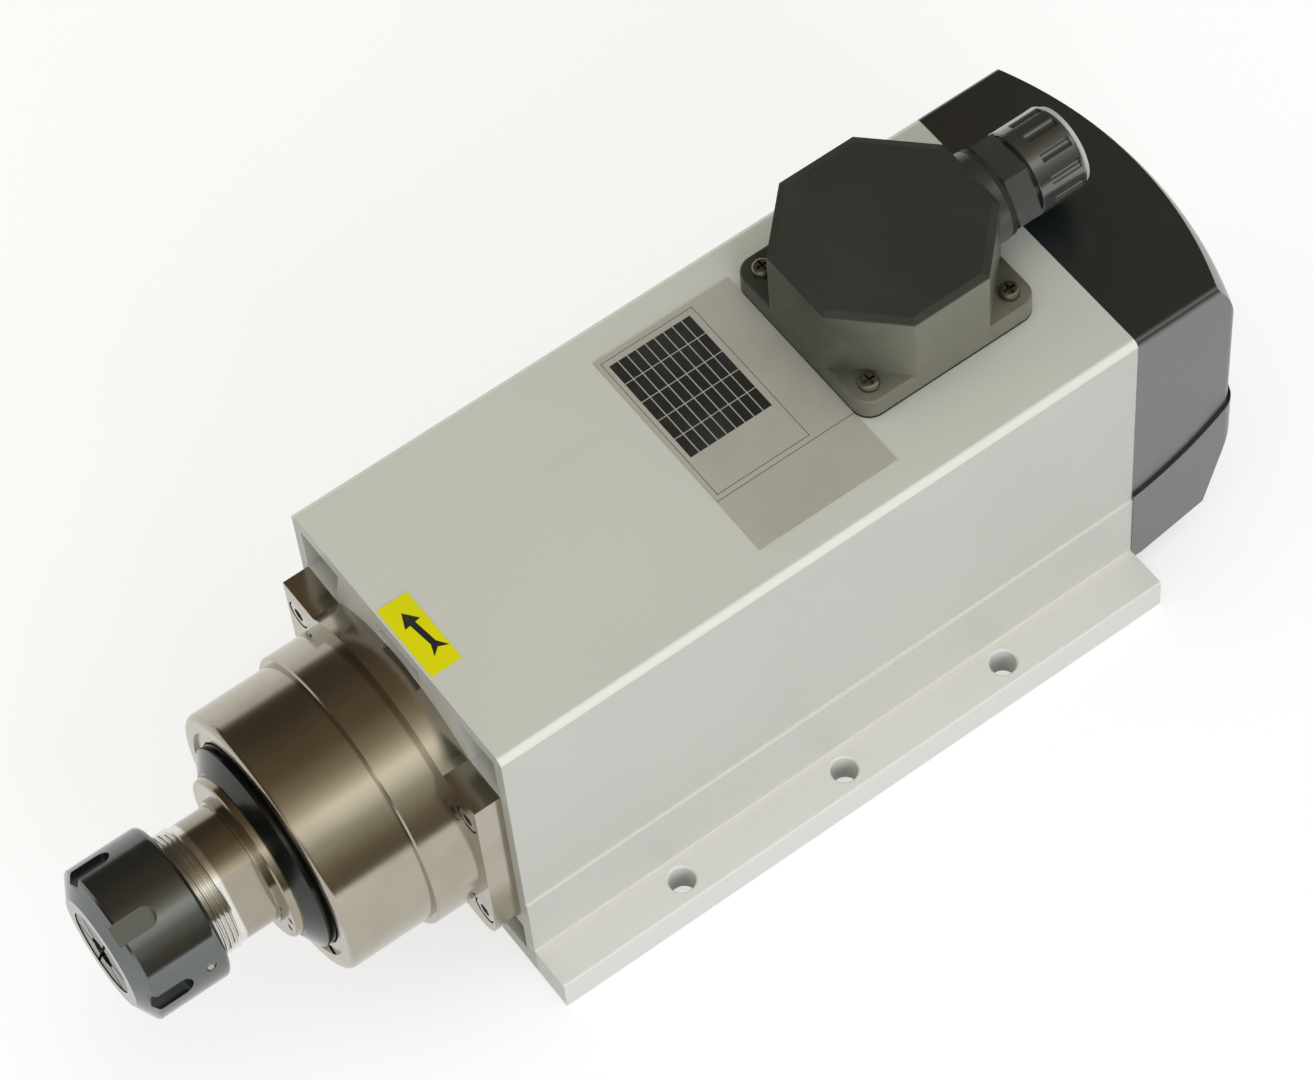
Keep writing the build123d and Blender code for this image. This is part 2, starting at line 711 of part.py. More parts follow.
balance_hole_radius = balance_ring_diameter / 2 - balance_hole_inset
with BuildPart() as balance_ring:
    revolve(ring_face(balance_front, dust_cone_y, dust_seat / 2, balance_ring_diameter / 2),
            axis=spindle_axis)
    rim = balance_ring.edges().group_by(Axis.Y)[0].sort_by(SortBy.RADIUS)[-1]
    chamfer(rim, rim_chamfer)
    with BuildSketch(facing_front(balance_front)):
        for turn in balance_hole_turns:
            with PolarLocations(balance_hole_radius, 1, start_angle=90 - turn):
                Circle(balance_hole / 2)
    extrude(amount=-balance_ring_width / 2, mode=Mode.SUBTRACT)
balance_ring.part.label = "balance_ring"
export_step(balance_ring.part, "parts/balance_ring.step")

# Collet: front cone, groove and long taper, slit from both ends
cone_slope = tan(radians(collet_cone_angle))
cone_rear = collet_front + collet_cone_length
cone_radius = collet_face / 2 + collet_cone_length * cone_slope
groove_rear = cone_rear + collet_groove_width
taper_start = taper_mouth / 2 - (groove_rear - shaft_front) * taper_slope - running_gap
taper_end = taper_mouth / 2 - (collet_rear - shaft_front) * taper_slope - running_gap
slit_reach = collet_length - collet_slit_stop
with BuildPart() as collet:
    revolve(turned_face((collet_front, collet_bore / 2), (collet_front, collet_face / 2),
                        (cone_rear, cone_radius), (cone_rear, collet_groove_diameter / 2),
                        (groove_rear, collet_groove_diameter / 2), (groove_rear, taper_start),
                        (collet_rear, taper_end), (collet_rear, collet_bore / 2)),
            axis=spindle_axis)
    with BuildSketch(facing_front(collet_front)):
        with PolarLocations(taper_mouth / 4, collet_slits, start_angle=collet_slit_turn):
            Rectangle(taper_mouth / 2, collet_slit)
    extrude(amount=-slit_reach, mode=Mode.SUBTRACT)
    rear_slit_turn = 180 / collet_slits - collet_slit_turn
    with BuildSketch(facing_rear(collet_rear)):
        with PolarLocations(taper_mouth / 4, collet_slits, start_angle=rear_slit_turn):
            Rectangle(taper_mouth / 2, collet_slit)
    extrude(amount=-slit_reach, mode=Mode.SUBTRACT)
collet.part.label = "collet"
export_step(collet.part, "parts/collet.step")

# Collet nut: threaded bore, front cone, raised face, six spanner slots and a balancing hole
nut_radius = nut_diameter / 2
nut_bore = thread_diameter / 2 + running_gap
nut_cone_front = collet_face / 2 + running_gap - collet_sunk * cone_slope
nut_cavity_front = cone_rear - free_gap
nut_cone_rear = nut_cone_front + (nut_cavity_front - nut_crown_front) * cone_slope
nut_cavity_rear = shaft_front - nut_seat_gap
with BuildPart() as collet_nut:
    revolve(turned_face((nut_crown_front, nut_cone_front),
                        (nut_crown_front, nut_crown_face / 2),
                        (nut_front, nut_radius - nut_chamfer),
                        (nut_front + nut_chamfer, nut_radius), (nut_rear, nut_radius),
                        (nut_rear, nut_bore), (nut_cavity_rear, nut_bore),
                        (nut_cavity_rear, nut_ring_outer / 2),
                        (nut_cavity_front, nut_ring_outer / 2),
                        (nut_cavity_front, nut_cone_rear)), axis=spindle_axis)
    fillet(collet_nut.edges().group_by(Axis.Y)[-1].sort_by(SortBy.RADIUS)[-1], nut_round)
    slot_straight = nut_slot_length - nut_slot_width / 2
    for number in range(nut_slots):
        turn = nut_slot_turn + number * 360 / nut_slots
        with BuildSketch(facing_out(turn, nut_radius - nut_slot_depth, nut_front)):
            with Locations(((slot_straight - nut_crown) / 2, 0)):
                Rectangle(slot_straight + nut_crown, nut_slot_width)
            with Locations((slot_straight, 0)):
                Circle(nut_slot_width / 2)
        extrude(amount=nut_radius, mode=Mode.SUBTRACT)
    with BuildSketch(facing_out(nut_mark_turn, nut_radius - nut_mark_depth,
                                nut_front + nut_mark_setback)):
        Circle(nut_mark_hole / 2)
    extrude(amount=nut_radius, mode=Mode.SUBTRACT)
collet_nut.part.label = "collet_nut"
export_step(collet_nut.part, "parts/collet_nut.step")

ring_middle = cone_rear + collet_groove_width / 2
with BuildPart() as collet_nut_ring:
    revolve(ring_face(ring_middle - nut_ring_width / 2, ring_middle + nut_ring_width / 2,
                      nut_ring_inner / 2, nut_ring_outer / 2 - face_gap), axis=spindle_axis)
collet_nut_ring.part.label = "collet_nut_ring"
export_step(collet_nut_ring.part, "parts/collet_nut_ring.step")

# Stator: slotted laminations and the winding with its two end turns
slot_middle = stator_inner / 2 + stator_slot_lip + stator_slot_depth / 2
stator_radius = bore_radius - face_gap
with BuildPart() as stator_core:
    revolve(ring_face(stack_front, stack_rear, stator_inner / 2, stator_radius),
            axis=spindle_axis)
    with BuildSketch(facing_front(stack_front)):
        with PolarLocations(slot_middle, stator_slots):
            Rectangle(stator_slot_depth, stator_slot_width)
    extrude(amount=-stack_length, mode=Mode.SUBTRACT)
stator_core.part.label = "stator_core"
export_step(stator_core.part, "parts/stator_core.step")

winding_inner = stator_inner / 2 + stator_slot_lip
winding_front = stack_front - winding_overhang
with BuildPart() as stator_windings:
    revolve(ring_face(winding_front, stack_front, winding_inner, winding_inner + winding_wall),
            axis=spindle_axis)
    revolve(ring_face(stack_rear, winding_rear, winding_inner, winding_inner + winding_wall),
            axis=spindle_axis)
    end_turn_rims = stator_windings.edges().filter_by(GeomType.CIRCLE)
    fillet(end_turn_rims.group_by(Axis.Y)[0] + end_turn_rims.group_by(Axis.Y)[-1],
           winding_wall / 3)
    with BuildSketch(facing_front(stack_front)):
        with PolarLocations(slot_middle, stator_slots):
            Rectangle(stator_slot_depth - 2 * slot_liner, stator_slot_width - 2 * slot_liner)
    extrude(amount=-stack_length)
stator_windings.part.label = "stator_windings"
export_step(stator_windings.part, "parts/stator_windings.step")

# Rotor: laminations on the shaft with an end ring at each end
rotor_radius = stator_inner / 2 - air_gap
with BuildPart() as rotor_core:
    revolve(ring_face(stack_front, stack_rear, core_seat / 2, rotor_radius), axis=spindle_axis)
rotor_core.part.label = "rotor_core"
export_step(rotor_core.part, "parts/rotor_core.step")

with BuildPart() as rotor_end_rings:
    for start in (stack_front - end_ring_width, stack_rear):
        revolve(ring_face(start, start + end_ring_width, rotor_radius - end_ring_wall,
                          rotor_radius - face_gap), axis=spindle_axis)
rotor_end_rings.part.label = "rotor_end_rings"
export_step(rotor_end_rings.part, "parts/rotor_end_rings.step")

# Rear end bell with the bearing seat, its screws and the preload spring
with BuildPart() as rear_end_bell:
    with BuildSketch(facing_front(rear_y)):
        Circle(flange_disc / 2)
        Rectangle(flange_width, flange_disc, mode=Mode.INTERSECT)
        Rectangle(flange_width, ear_height)
    extrude(amount=-bell_plate)
    revolve(ring_face(bell_front, rear_y, rear_outer / 2 + face_gap, stator_radius),
            axis=spindle_axis)
    revolve(ring_face(bell_wall_y, rear_y, bell_bore / 2, stator_radius), axis=spindle_axis)
    revolve(ring_face(bell_wall_y, bell_rear, 0, bell_bore / 2), axis=spindle_axis,
            mode=Mode.SUBTRACT)
    with BuildSketch(facing_rear(bell_rear)):
        with GridLocations(2 * ear_screw_x, 2 * ear_screw_z, 2, 2):
            Circle(ear_screw / 2 + face_gap)
        with GridLocations(2 * cover_screw_offset, 2 * cover_screw_offset, 2, 2):
            Circle(cover_screw / 2 + face_gap)
    extrude(amount=-bell_plate, mode=Mode.SUBTRACT)
rear_end_bell.part.label = "rear_end_bell"
export_step(rear_end_bell.part, "parts/rear_end_bell.step")

with BuildPart(facing_front(bell_rear)) as rear_end_bell_screws:
    with GridLocations(2 * ear_screw_x, 2 * ear_screw_z, 2, 2):
        add(socket_screw(ear_screw, ear_screw_length))
rear_end_bell_screws.part.label = "rear_end_bell_screws"
export_step(rear_end_bell_screws.part, "parts/rear_end_bell_screws.step")

with BuildPart() as preload_spring:
    revolve(ring_face(spring_y, bell_wall_y, rear_outer / 2 - spring_wall, rear_outer / 2),
            axis=spindle_axis)
preload_spring.part.label = "preload_spring"
export_step(preload_spring.part, "parts/preload_spring.step")

# Cooling fan on the shaft's tail
blade_length = (fan_diameter - fan_hub) / 2 + fan_blade_root
with BuildPart() as cooling_fan:
    revolve(ring_face(fan_front, fan_rear, fan_seat / 2, fan_hub / 2), axis=spindle_axis)
    revolve(ring_face(fan_front, fan_front + fan_disc, fan_seat / 2, fan_diameter / 2),
            axis=spindle_axis)
    with BuildSketch(facing_front(fan_front)):
        with PolarLocations((fan_diameter + fan_hub) / 4, fan_blades):
            Rectangle(blade_length, fan_blade, rotation=fan_blade_turn)
        Circle(fan_diameter / 2, mode=Mode.INTERSECT)
        Circle(fan_hub / 2 - fan_blade_root, mode=Mode.SUBTRACT)
    extrude(amount=-fan_width)
cooling_fan.part.label = "cooling_fan"
export_step(cooling_fan.part, "parts/cooling_fan.step")

with BuildPart() as fan_spacer:
    revolve(ring_face(bell_rear, fan_front, fan_seat / 2, fan_seat / 2 + fan_ring_wall),
            axis=spindle_axis)
fan_spacer.part.label = "fan_spacer"
export_step(fan_spacer.part, "parts/fan_spacer.step")

with BuildPart() as fan_retaining_ring:
    revolve(ring_face(fan_rear, fan_ring_rear, fan_seat / 2, fan_seat / 2 + fan_ring_wall),
            axis=spindle_axis)
fan_retaining_ring.part.label = "fan_retaining_ring"
export_step(fan_retaining_ring.part, "parts/fan_retaining_ring.step")

# Fan cover: a shell whose rear face is an arc in plan and leans in at top and bottom
cover_centre_y = cover_rear - cover_arc
cover_upright_z = roof_z - cover_round_drop
cover_back = cover_depth - cover_roof_depth
cover_curve = (cover_round_drop ** 2 + cover_back ** 2) / (2 * cover_back)
cover_end = cover_rear + cover_ledge
cover_axis = Axis((0, cover_centre_y, 0), (0, 0, 1))
cover_plane = Plane(origin=(0, cover_centre_y, 0), x_dir=(0, 1, 0), z_dir=(1, 0, 0))


def cover_form(inset, start):
    """Form of the fan cover behind a start along Y, moved inward everywhere by inset."""
    bottom = cover_bottom + inset
    top = roof_z - max(inset, 0)
    reach = cover_arc - inset
    curve = cover_curve - inset
    rise = top - cover_upright_z
    with BuildPart() as form:
        with BuildSketch(cover_plane):
            with BuildLine():
                Line((0, bottom), (reach - cover_heel, bottom))
                Line((reach - cover_heel, bottom), (reach, cover_knee))
                Line((reach, cover_knee), (reach, cover_upright_z))
                RadiusArc((reach, cover_upright_z),
                          (reach - curve + sqrt(curve ** 2 - rise ** 2), top), -curve)
                Line((reach - curve + sqrt(curve ** 2 - rise ** 2), top), (0, top))
                Line((0, top), (0, bottom))
            make_face()
        revolve(axis=cover_axis)
        with BuildSketch(Plane.XY.offset(bottom)) as plan:
            with Locations((0, cover_centre_y)):
                Circle(reach)
            with Locations((0, start)):
                Rectangle(body_width - 2 * inset, cover_arc, align=(Align.CENTER, Align.MIN),
                          mode=Mode.INTERSECT)
            fillet(plan.vertices().group_by(Axis.Y)[-1], cover_corner - inset)
        extrude(amount=top - bottom, mode=Mode.INTERSECT)
        with BuildSketch(Plane.YZ):
            with BuildLine():
                Polyline((rear_y, 0), (rear_y, bottom), (cover_end, bottom + cover_bottom_rise),
                         (cover_end, 0), close=True)
            make_face()
        extrude(amount=body_width, both=True, mode=Mode.SUBTRACT)
    return form.part


# The lower part of the cover stands out by a ledge whose line climbs towards the rear
with BuildPart() as cover_skirt:
    add(cover_form(-cover_ledge, rear_y))
    with BuildSketch(Plane.YZ):
        with BuildLine():
            RadiusArc((rear_y, cover_ledge_front), (cover_end, cover_ledge_rear),
                      -cover_ledge_curve)
            Polyline((cover_end, cover_ledge_rear), (cover_end, cover_bottom),
                     (rear_y, cover_bottom), (rear_y, cover_ledge_front))
        make_face()
    extrude(amount=body_width, both=True, mode=Mode.INTERSECT)

# The hollow inside the cover leaves a boss standing round each screw
screw_seat_y = bell_rear + cover_screw_seat
with BuildPart() as cover_hollow:
    add(cover_form(cover_wall, rear_y - cover_ledge))
    with BuildSketch(facing_rear(rear_y)):
        Circle(flange_disc / 2 + free_gap)
        Rectangle(body_width - 2 * cover_wall, body_height, mode=Mode.INTERSECT)
    extrude(amount=bell_plate + free_gap)
    with BuildSketch(facing_rear(bell_rear)):
        with GridLocations(2 * cover_screw_offset, 2 * cover_screw_offset, 2, 2):
            Circle(cover_boss / 2)
    extrude(amount=cover_depth, mode=Mode.SUBTRACT)

with BuildPart() as fan_cover:
    add(cover_form(0, rear_y))
    roof_edges = fan_cover.edges().filter_by(Axis.Y).group_by(Axis.Z)[-1]
    fillet(roof_edges, body_edge_radius)
    add(cover_skirt.part)
    add(cover_hollow.part, mode=Mode.SUBTRACT)
    with BuildSketch(facing_rear(bell_rear)):
        with GridLocations(2 * cover_screw_offset, 2 * cover_screw_offset, 2, 2):
            Circle(cover_screw / 2 + face_gap)
    extrude(amount=cover_depth, mode=Mode.SUBTRACT)
    with BuildSketch(facing_rear(screw_seat_y)):
        with GridLocations(2 * cover_screw_offset, 2 * cover_screw_offset, 2, 2):
            Circle(cover_screw_head / 2 + face_gap)
    extrude(amount=cover_depth, mode=Mode.SUBTRACT)
    with BuildSketch(facing_rear(cover_end)):
        with GridLocations(0, grille_pitch, 1, grille_slots):
            Rectangle(grille_diameter, grille_slot)
        Circle(grille_diameter / 2, mode=Mode.INTERSECT)
        Rectangle(grille_rib, grille_diameter, mode=Mode.SUBTRACT)
    extrude(amount=-grille_depth, mode=Mode.SUBTRACT)
fan_cover.part.label = "fan_cover"
export_step(fan_cover.part, "parts/fan_cover.step")

with BuildPart(facing_front(screw_seat_y)) as fan_cover_screws:
    with GridLocations(2 * cover_screw_offset, 2 * cover_screw_offset, 2, 2):
        add(cross_screw(cover_screw, cover_screw_seat + bell_plate - free_gap, cover_screw_head))
fan_cover_screws.part.label = "fan_cover_screws"
export_step(fan_cover_screws.part, "parts/fan_cover_screws.step")

# Terminal box: a square plate, an eight-sided tower with a bevelled top, and a gland boss
boss_root = box_y + box_width / 2 - box_wall
with BuildPart() as terminal_box:
    with BuildSketch(Plane(origin=(box_offset_x, box_y, box_floor))):
        RectangleRounded(box_width, box_width, box_corner)
    extrude(amount=box_plate)
    fillet(terminal_box.faces().sort_by(Axis.Z)[-1].edges(), box_edge_round)
    with BuildSketch(Plane(origin=(box_offset_x, box_y, box_floor))) as tower:
        Rectangle(box_width, box_width)
        chamfer(tower.vertices(), box_cut)
    extrude(amount=box_top - box_floor)
    lid = terminal_box.faces().sort_by(Axis.Z)[-1]
    chamfer(lid.edges(), box_bevel_width, box_bevel_height, reference=lid)
    with BuildSketch(facing_rear(boss_end, gland_height, box_offset_x)):
        Circle(box_boss / 2)
    extrude(amount=boss_root - boss_end)
    with BuildSketch(Plane(origin=(box_offset_x, box_y, box_floor))) as inside:
        Rectangle(box_width, box_width)
        chamfer(inside.vertices(), box_cut)
        offset(amount=-box_wall, kind=Kind.INTERSECTION, mode=Mode.REPLACE)
    extrude(amount=box_top - box_floor - box_wall, mode=Mode.SUBTRACT)
    with BuildSketch(facing_rear(boss_end, gland_height, box_offset_x)):
        Circle(gland_thread / 2 + face_gap)
    extrude(amount=boss_root - boss_end, mode=Mode.SUBTRACT)
    with BuildSketch(Plane(origin=(box_offset_x, box_y, box_floor))):
        with GridLocations(2 * box_screw_offset, 2 * box_screw_offset, 2, 2):
            Circle(box_screw / 2 + face_gap)
    extrude(amount=box_plate, mode=Mode.SUBTRACT)
terminal_box.part.label = "terminal_box"
export_step(terminal_box.part, "parts/terminal_box.step")

with BuildPart() as terminal_box_gasket:
    with BuildSketch(Plane(origin=(box_offset_x, box_y, roof_z))):
        RectangleRounded(box_width, box_width, box_corner)
        Rectangle(box_width - 2 * box_gasket_width, box_width - 2 * box_gasket_width,
                  mode=Mode.SUBTRACT)
    extrude(amount=box_gasket)
terminal_box_gasket.part.label = "terminal_box_gasket"
export_step(terminal_box_gasket.part, "parts/terminal_box_gasket.step")

box_screw_length = box_plate + box_gasket + roof_screw_bite
with BuildPart(Plane(origin=(box_offset_x, box_y, box_ledge), z_dir=(0, 0, -1))) as box_screws:
    with GridLocations(2 * box_screw_offset, 2 * box_screw_offset, 2, 2):
        add(cross_screw(box_screw, box_screw_length, box_screw_head))
box_screws.part.label = "terminal_box_screws"
export_step(box_screws.part, "parts/terminal_box_screws.step")

earth_place = (box_offset_x + earth_screw_x, box_y + earth_screw_y, roof_z)
with BuildPart(Plane(origin=earth_place, z_dir=(0, 0, -1))) as earth_terminal:
    add(cross_screw(earth_screw, roof_screw_bite, earth_screw_head))
earth_terminal.part.label = "earth_screw"
export_step(earth_terminal.part, "parts/earth_screw.step")

# Terminal block with three studs, their nuts and the leads that come up from the winding
block_y = box_y - block_setback
block_top = roof_z + block_height
stud_places = GridLocations(stud_pitch, 0, 3, 1).locations
with BuildPart() as terminal_block:
    with BuildSketch(Plane(origin=(box_offset_x, block_y, roof_z))):
        Rectangle(block_length, block_width)
    extrude(amount=block_height)
    with BuildSketch(Plane(origin=(box_offset_x, block_y, block_top))):
        with GridLocations(stud_pitch, 0, 3, 1):
            Circle(stud / 2 + face_gap)
    extrude(amount=-stud_sunk, mode=Mode.SUBTRACT)
terminal_block.part.label = "terminal_block"
export_step(terminal_block.part, "parts/terminal_block.step")

with BuildPart() as terminal_studs:
    with BuildSketch(Plane(origin=(box_offset_x, block_y, block_top - stud_sunk))):
        with GridLocations(stud_pitch, 0, 3, 1):
            Circle(stud / 2)
    extrude(amount=stud_sunk + stud_height)
terminal_studs.part.label = "terminal_studs"
export_step(terminal_studs.part, "parts/terminal_studs.step")

with BuildPart() as terminal_nuts:
    with BuildSketch(Plane(origin=(box_offset_x, block_y, block_top + lug_thickness))):
        with GridLocations(stud_pitch, 0, 3, 1):
            RegularPolygon(stud_nut / 2, 6, major_radius=False)
            Circle(stud / 2 + face_gap, mode=Mode.SUBTRACT)
    extrude(amount=stud_nut_height)
terminal_nuts.part.label = "terminal_nuts"
export_step(terminal_nuts.part, "parts/terminal_nuts.step")

lead_end_z = block_top + lead / 2 + face_gap
lead_start_z = axis_height + winding_middle
with BuildPart() as lead_wires:
    for place in stud_places:
        stud_x = box_offset_x + place.position.X
        with BuildSketch(Plane(origin=(stud_x, block_y, block_top))):
            with Locations((0, lug_length / 2)):
                SlotCenterToCenter(lug_length, lug_width, rotation=90)
            Circle(stud / 2 + face_gap, mode=Mode.SUBTRACT)
        extrude(amount=lug_thickness)
        with BuildLine() as path:
            FilletPolyline((stud_x, winding_rear, lead_start_z), (stud_x, box_y, lead_start_z),
                           (stud_x, box_y, lead_end_z), (stud_x, block_y + lug_length, lead_end_z),
                           radius=lead_bend)
        with BuildSketch(Plane(origin=path.line @ 0, z_dir=path.line % 0)):
            Circle(lead / 2)
        sweep()
lead_wires.part.label = "lead_wires"
export_step(lead_wires.part, "parts/lead_wires.step")

# Cable gland along its own axis: washers, body, seal, thrust ring and dome nut
gland_radius = gland_thread / 2
with BuildPart() as gland_washers:
    for start in (boss_end, boss_end + gland_washer_width):
        revolve(ring_face(start, start + gland_washer_width, gland_radius + face_gap,
                          gland_washer / 2, gland_plane), axis=gland_axis)
gland_washers.part.label = "gland_washers"
export_step(gland_washers.part, "parts/gland_washers.step")

tip_radius = gland_tip_thread / 2
seal_start = tip_end - seal_length
with BuildPart() as gland_body:
    revolve(turned_face((boss_root, cable_bore / 2), (boss_root, gland_radius),
                        (hex_y, gland_radius), (neck_y, gland_radius), (neck_y, tip_radius),
                        (tip_end, tip_radius), (tip_end, gland_bore / 2),
                        (seal_start, gland_bore / 2), (seal_start, cable_bore / 2),
                        plane=gland_plane), axis=gland_axis)
    with BuildSketch(facing_rear(hex_y, gland_height, box_offset_x)):
        RegularPolygon(gland_hex / 2, 6, major_radius=False)
        Circle(gland_radius - gland_thread_root, mode=Mode.SUBTRACT)
    extrude(amount=gland_hex_width)
gland_body.part.label = "gland_body"
export_step(gland_body.part, "parts/gland_body.step")

with BuildPart() as gland_seal:
    revolve(ring_face(seal_start, tip_end + free_gap, cable_bore / 2, gland_bore / 2 - face_gap,
                      gland_plane), axis=gland_axis)
gland_seal.part.label = "gland_seal"
export_step(gland_seal.part, "parts/gland_seal.step")

dome_step_y = dome_y + dome_thread_length
thrust_radius = dome_opening / 2 - running_gap
thrust_bore = thrust_radius - thrust_ring_wall
thrust_start = tip_end + 2 * free_gap
thrust_end = dome_end + thrust_ring_rim_width
with BuildPart() as gland_thrust_ring:
    revolve(turned_face((thrust_start, thrust_bore), (thrust_start, thrust_radius),
                        (dome_end, thrust_radius), (dome_end, thrust_ring_rim / 2),
                        (thrust_end, thrust_ring_rim / 2), (thrust_end, thrust_bore),
                        plane=gland_plane), axis=gland_axis)
gland_thrust_ring.part.label = "gland_thrust_ring"
export_step(gland_thrust_ring.part, "parts/gland_thrust_ring.step")

dome_radius = dome_diameter / 2
groove_start = dome_y + dome_collar
groove_end = dome_end - dome_crown
with BuildPart() as gland_dome_nut:
    revolve(turned_face((dome_y, tip_radius + running_gap), (dome_y, dome_radius),
                        (dome_end, dome_radius), (dome_end, dome_opening / 2),
                        (dome_step_y, dome_opening / 2),
                        (dome_step_y, tip_radius + running_gap),
                        plane=gland_plane), axis=gland_axis)
    dome_rims = gland_dome_nut.edges().filter_by(GeomType.CIRCLE)
    fillet(dome_rims.group_by(Axis.Y)[-1].sort_by(SortBy.RADIUS)[-1], dome_round)
    fillet(dome_rims.group_by(Axis.Y)[0].sort_by(SortBy.RADIUS)[-1], dome_round / 2)
    groove_reach = dome_radius + dome_groove / 2 - dome_groove_depth
    for number in range(dome_ribs):
        turn = radians(number * 360 / dome_ribs)
        groove_x = box_offset_x + groove_reach * sin(turn)
        groove_z = gland_height + groove_reach * cos(turn)
        with BuildSketch(facing_rear(groove_start, groove_z, groove_x)):
            Circle(dome_groove / 2)
        extrude(amount=groove_end - groove_start, mode=Mode.SUBTRACT)
gland_dome_nut.part.label = "gland_dome_nut"
export_step(gland_dome_nut.part, "parts/gland_dome_nut.step")

# Plates on the roof
with BuildPart() as nameplate:
    with BuildSketch(Plane(origin=(plate_offset_x, plate_rear, roof_z))):
        Rectangle(plate_width, plate_length, align=(Align.CENTER, Align.MAX))
    extrude(amount=plate_thickness)
nameplate.part.label = "nameplate"
export_step(nameplate.part, "parts/nameplate.step")

with BuildPart() as rotation_label:
    with BuildSketch(Plane(origin=(label_offset_x, front_y + label_setback, roof_z))):
        Rectangle(label_width, label_length, align=(Align.CENTER, Align.MIN))
    extrude(amount=label_thickness)
rotation_label.part.label = "rotation_label"
export_step(rotation_label.part, "parts/rotation_label.step")
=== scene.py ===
"""Looks of a square air-cooled motor spindle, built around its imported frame."""
import json
import logging
import math
from dataclasses import dataclass, field
from enum import Enum

import bmesh
import bpy
from mathutils import Matrix, Vector

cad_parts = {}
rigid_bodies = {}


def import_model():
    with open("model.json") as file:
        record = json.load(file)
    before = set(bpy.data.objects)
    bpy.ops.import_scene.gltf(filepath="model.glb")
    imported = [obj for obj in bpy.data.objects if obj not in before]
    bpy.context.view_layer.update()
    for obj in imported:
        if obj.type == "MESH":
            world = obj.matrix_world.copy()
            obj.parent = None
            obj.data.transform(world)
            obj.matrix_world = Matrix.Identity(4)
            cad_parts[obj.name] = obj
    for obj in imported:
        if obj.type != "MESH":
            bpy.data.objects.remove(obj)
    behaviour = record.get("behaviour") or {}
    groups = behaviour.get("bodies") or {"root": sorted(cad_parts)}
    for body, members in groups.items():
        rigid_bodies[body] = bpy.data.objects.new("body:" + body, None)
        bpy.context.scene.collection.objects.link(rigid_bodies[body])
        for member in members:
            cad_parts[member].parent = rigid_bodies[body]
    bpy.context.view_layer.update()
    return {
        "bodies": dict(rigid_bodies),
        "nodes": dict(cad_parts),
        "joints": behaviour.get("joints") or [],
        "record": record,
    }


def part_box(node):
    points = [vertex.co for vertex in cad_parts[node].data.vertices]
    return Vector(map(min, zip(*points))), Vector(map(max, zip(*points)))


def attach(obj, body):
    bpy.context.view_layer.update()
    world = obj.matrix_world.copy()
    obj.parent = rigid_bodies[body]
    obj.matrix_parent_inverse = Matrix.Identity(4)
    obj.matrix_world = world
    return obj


LOG = logging.getLogger("spindle")
Triple = tuple[float, float, float]
Colour = Triple
Band = tuple[float, float]
WHITE: Colour = (1.0, 1.0, 1.0)


class Sheen(Enum):
    """How a moulded surface scatters light: its roughness."""

    GLOSS = 0.17
    SATIN = 0.34
    FINE = 0.46
    MATTE = 0.68


class Detail(Enum):
    """How broken up a noise is: its octaves."""

    SMOOTH = 2.0
    PLAIN = 3.0
    ROUGH = 4.0
    DUSTY = 5.0


def scaled(colour: Colour, factor: float, lift: float = 0.0) -> Colour:
    """The colour times a factor, then lifted, with no channel above 1."""
    return tuple(min(1.0, factor * channel + lift) for channel in colour)


# Shader maths


class Value:
    """A shader socket that takes part in Python arithmetic."""

    def __init__(self, graph: "Graph", socket: bpy.types.NodeSocket) -> None:
        """Keeps the socket and the graph that new nodes go into."""
        self.graph = graph
        self.socket = socket

    def _math(self, operation: str, *others: object, clamp: bool = False) -> "Value":
        """Adds a Math node.

        Args:
            operation: the Math node's operation.
            others: its inputs, in order.
            clamp: whether the result is kept between 0 and 1.

        Returns:
            The node's result.
        """
        return self.graph.node("ShaderNodeMath", {"operation": operation, "use_clamp": clamp},
                               dict(enumerate(others)))

    def __add__(self, other: object) -> "Value":
        """Sum."""
        return self._math("ADD", self, other)

    __radd__ = __add__

    def __sub__(self, other: object) -> "Value":
        """Difference."""
        return self._math("SUBTRACT", self, other)

    def __rsub__(self, other: object) -> "Value":
        """Difference the other way round."""
        return self._math("SUBTRACT", other, self)

    def __mul__(self, other: object) -> "Value":
        """Product."""
        return self._math("MULTIPLY", self, other)

    __rmul__ = __mul__

    def __truediv__(self, other: object) -> "Value":
        """Quotient."""
        return self._math("DIVIDE", self, other)

    def absolute(self) -> "Value":
        """Size without its sign."""
        return self._math("ABSOLUTE", self)

    def wave(self) -> "Value":
        """Sine of a value in radians, brought between 0 and 1."""
        return self._math("SINE", self) * 0.5 + 0.5

    def arctangent(self, other: object) -> "Value":
        """Angle in radians whose tangent is this value over another."""
        return self._math("ARCTAN2", self, other)

    def clamped(self) -> "Value":
        """The value kept between 0 and 1."""
        return self._math("ADD", self, 0.0, clamp=True)

    def highest(self, other: object) -> "Value":
        """The larger of two values."""
        return self._math("MAXIMUM", self, other)

    def ramp(self, low: float, high: float) -> "Value":
        """Smooth step from 0 at low to 1 at high."""
        return self.graph.node("ShaderNodeMapRange", {"interpolation_type": "SMOOTHSTEP"},
                               {0: self, 1: low, 2: high, 3: 0.0, 4: 1.0})

    def near(self, place: float, reach: float) -> "Value":
        """1 where the value is the place, falling to 0 at a reach from it."""
        return 1.0 - ((self - place).absolute() / reach).clamped()

    def around(self, middle: float, spread: float) -> "Value":
        """The middle number, which this noise varies by a share of it."""
        return middle * ((1.0 - spread / 2) + spread * self)


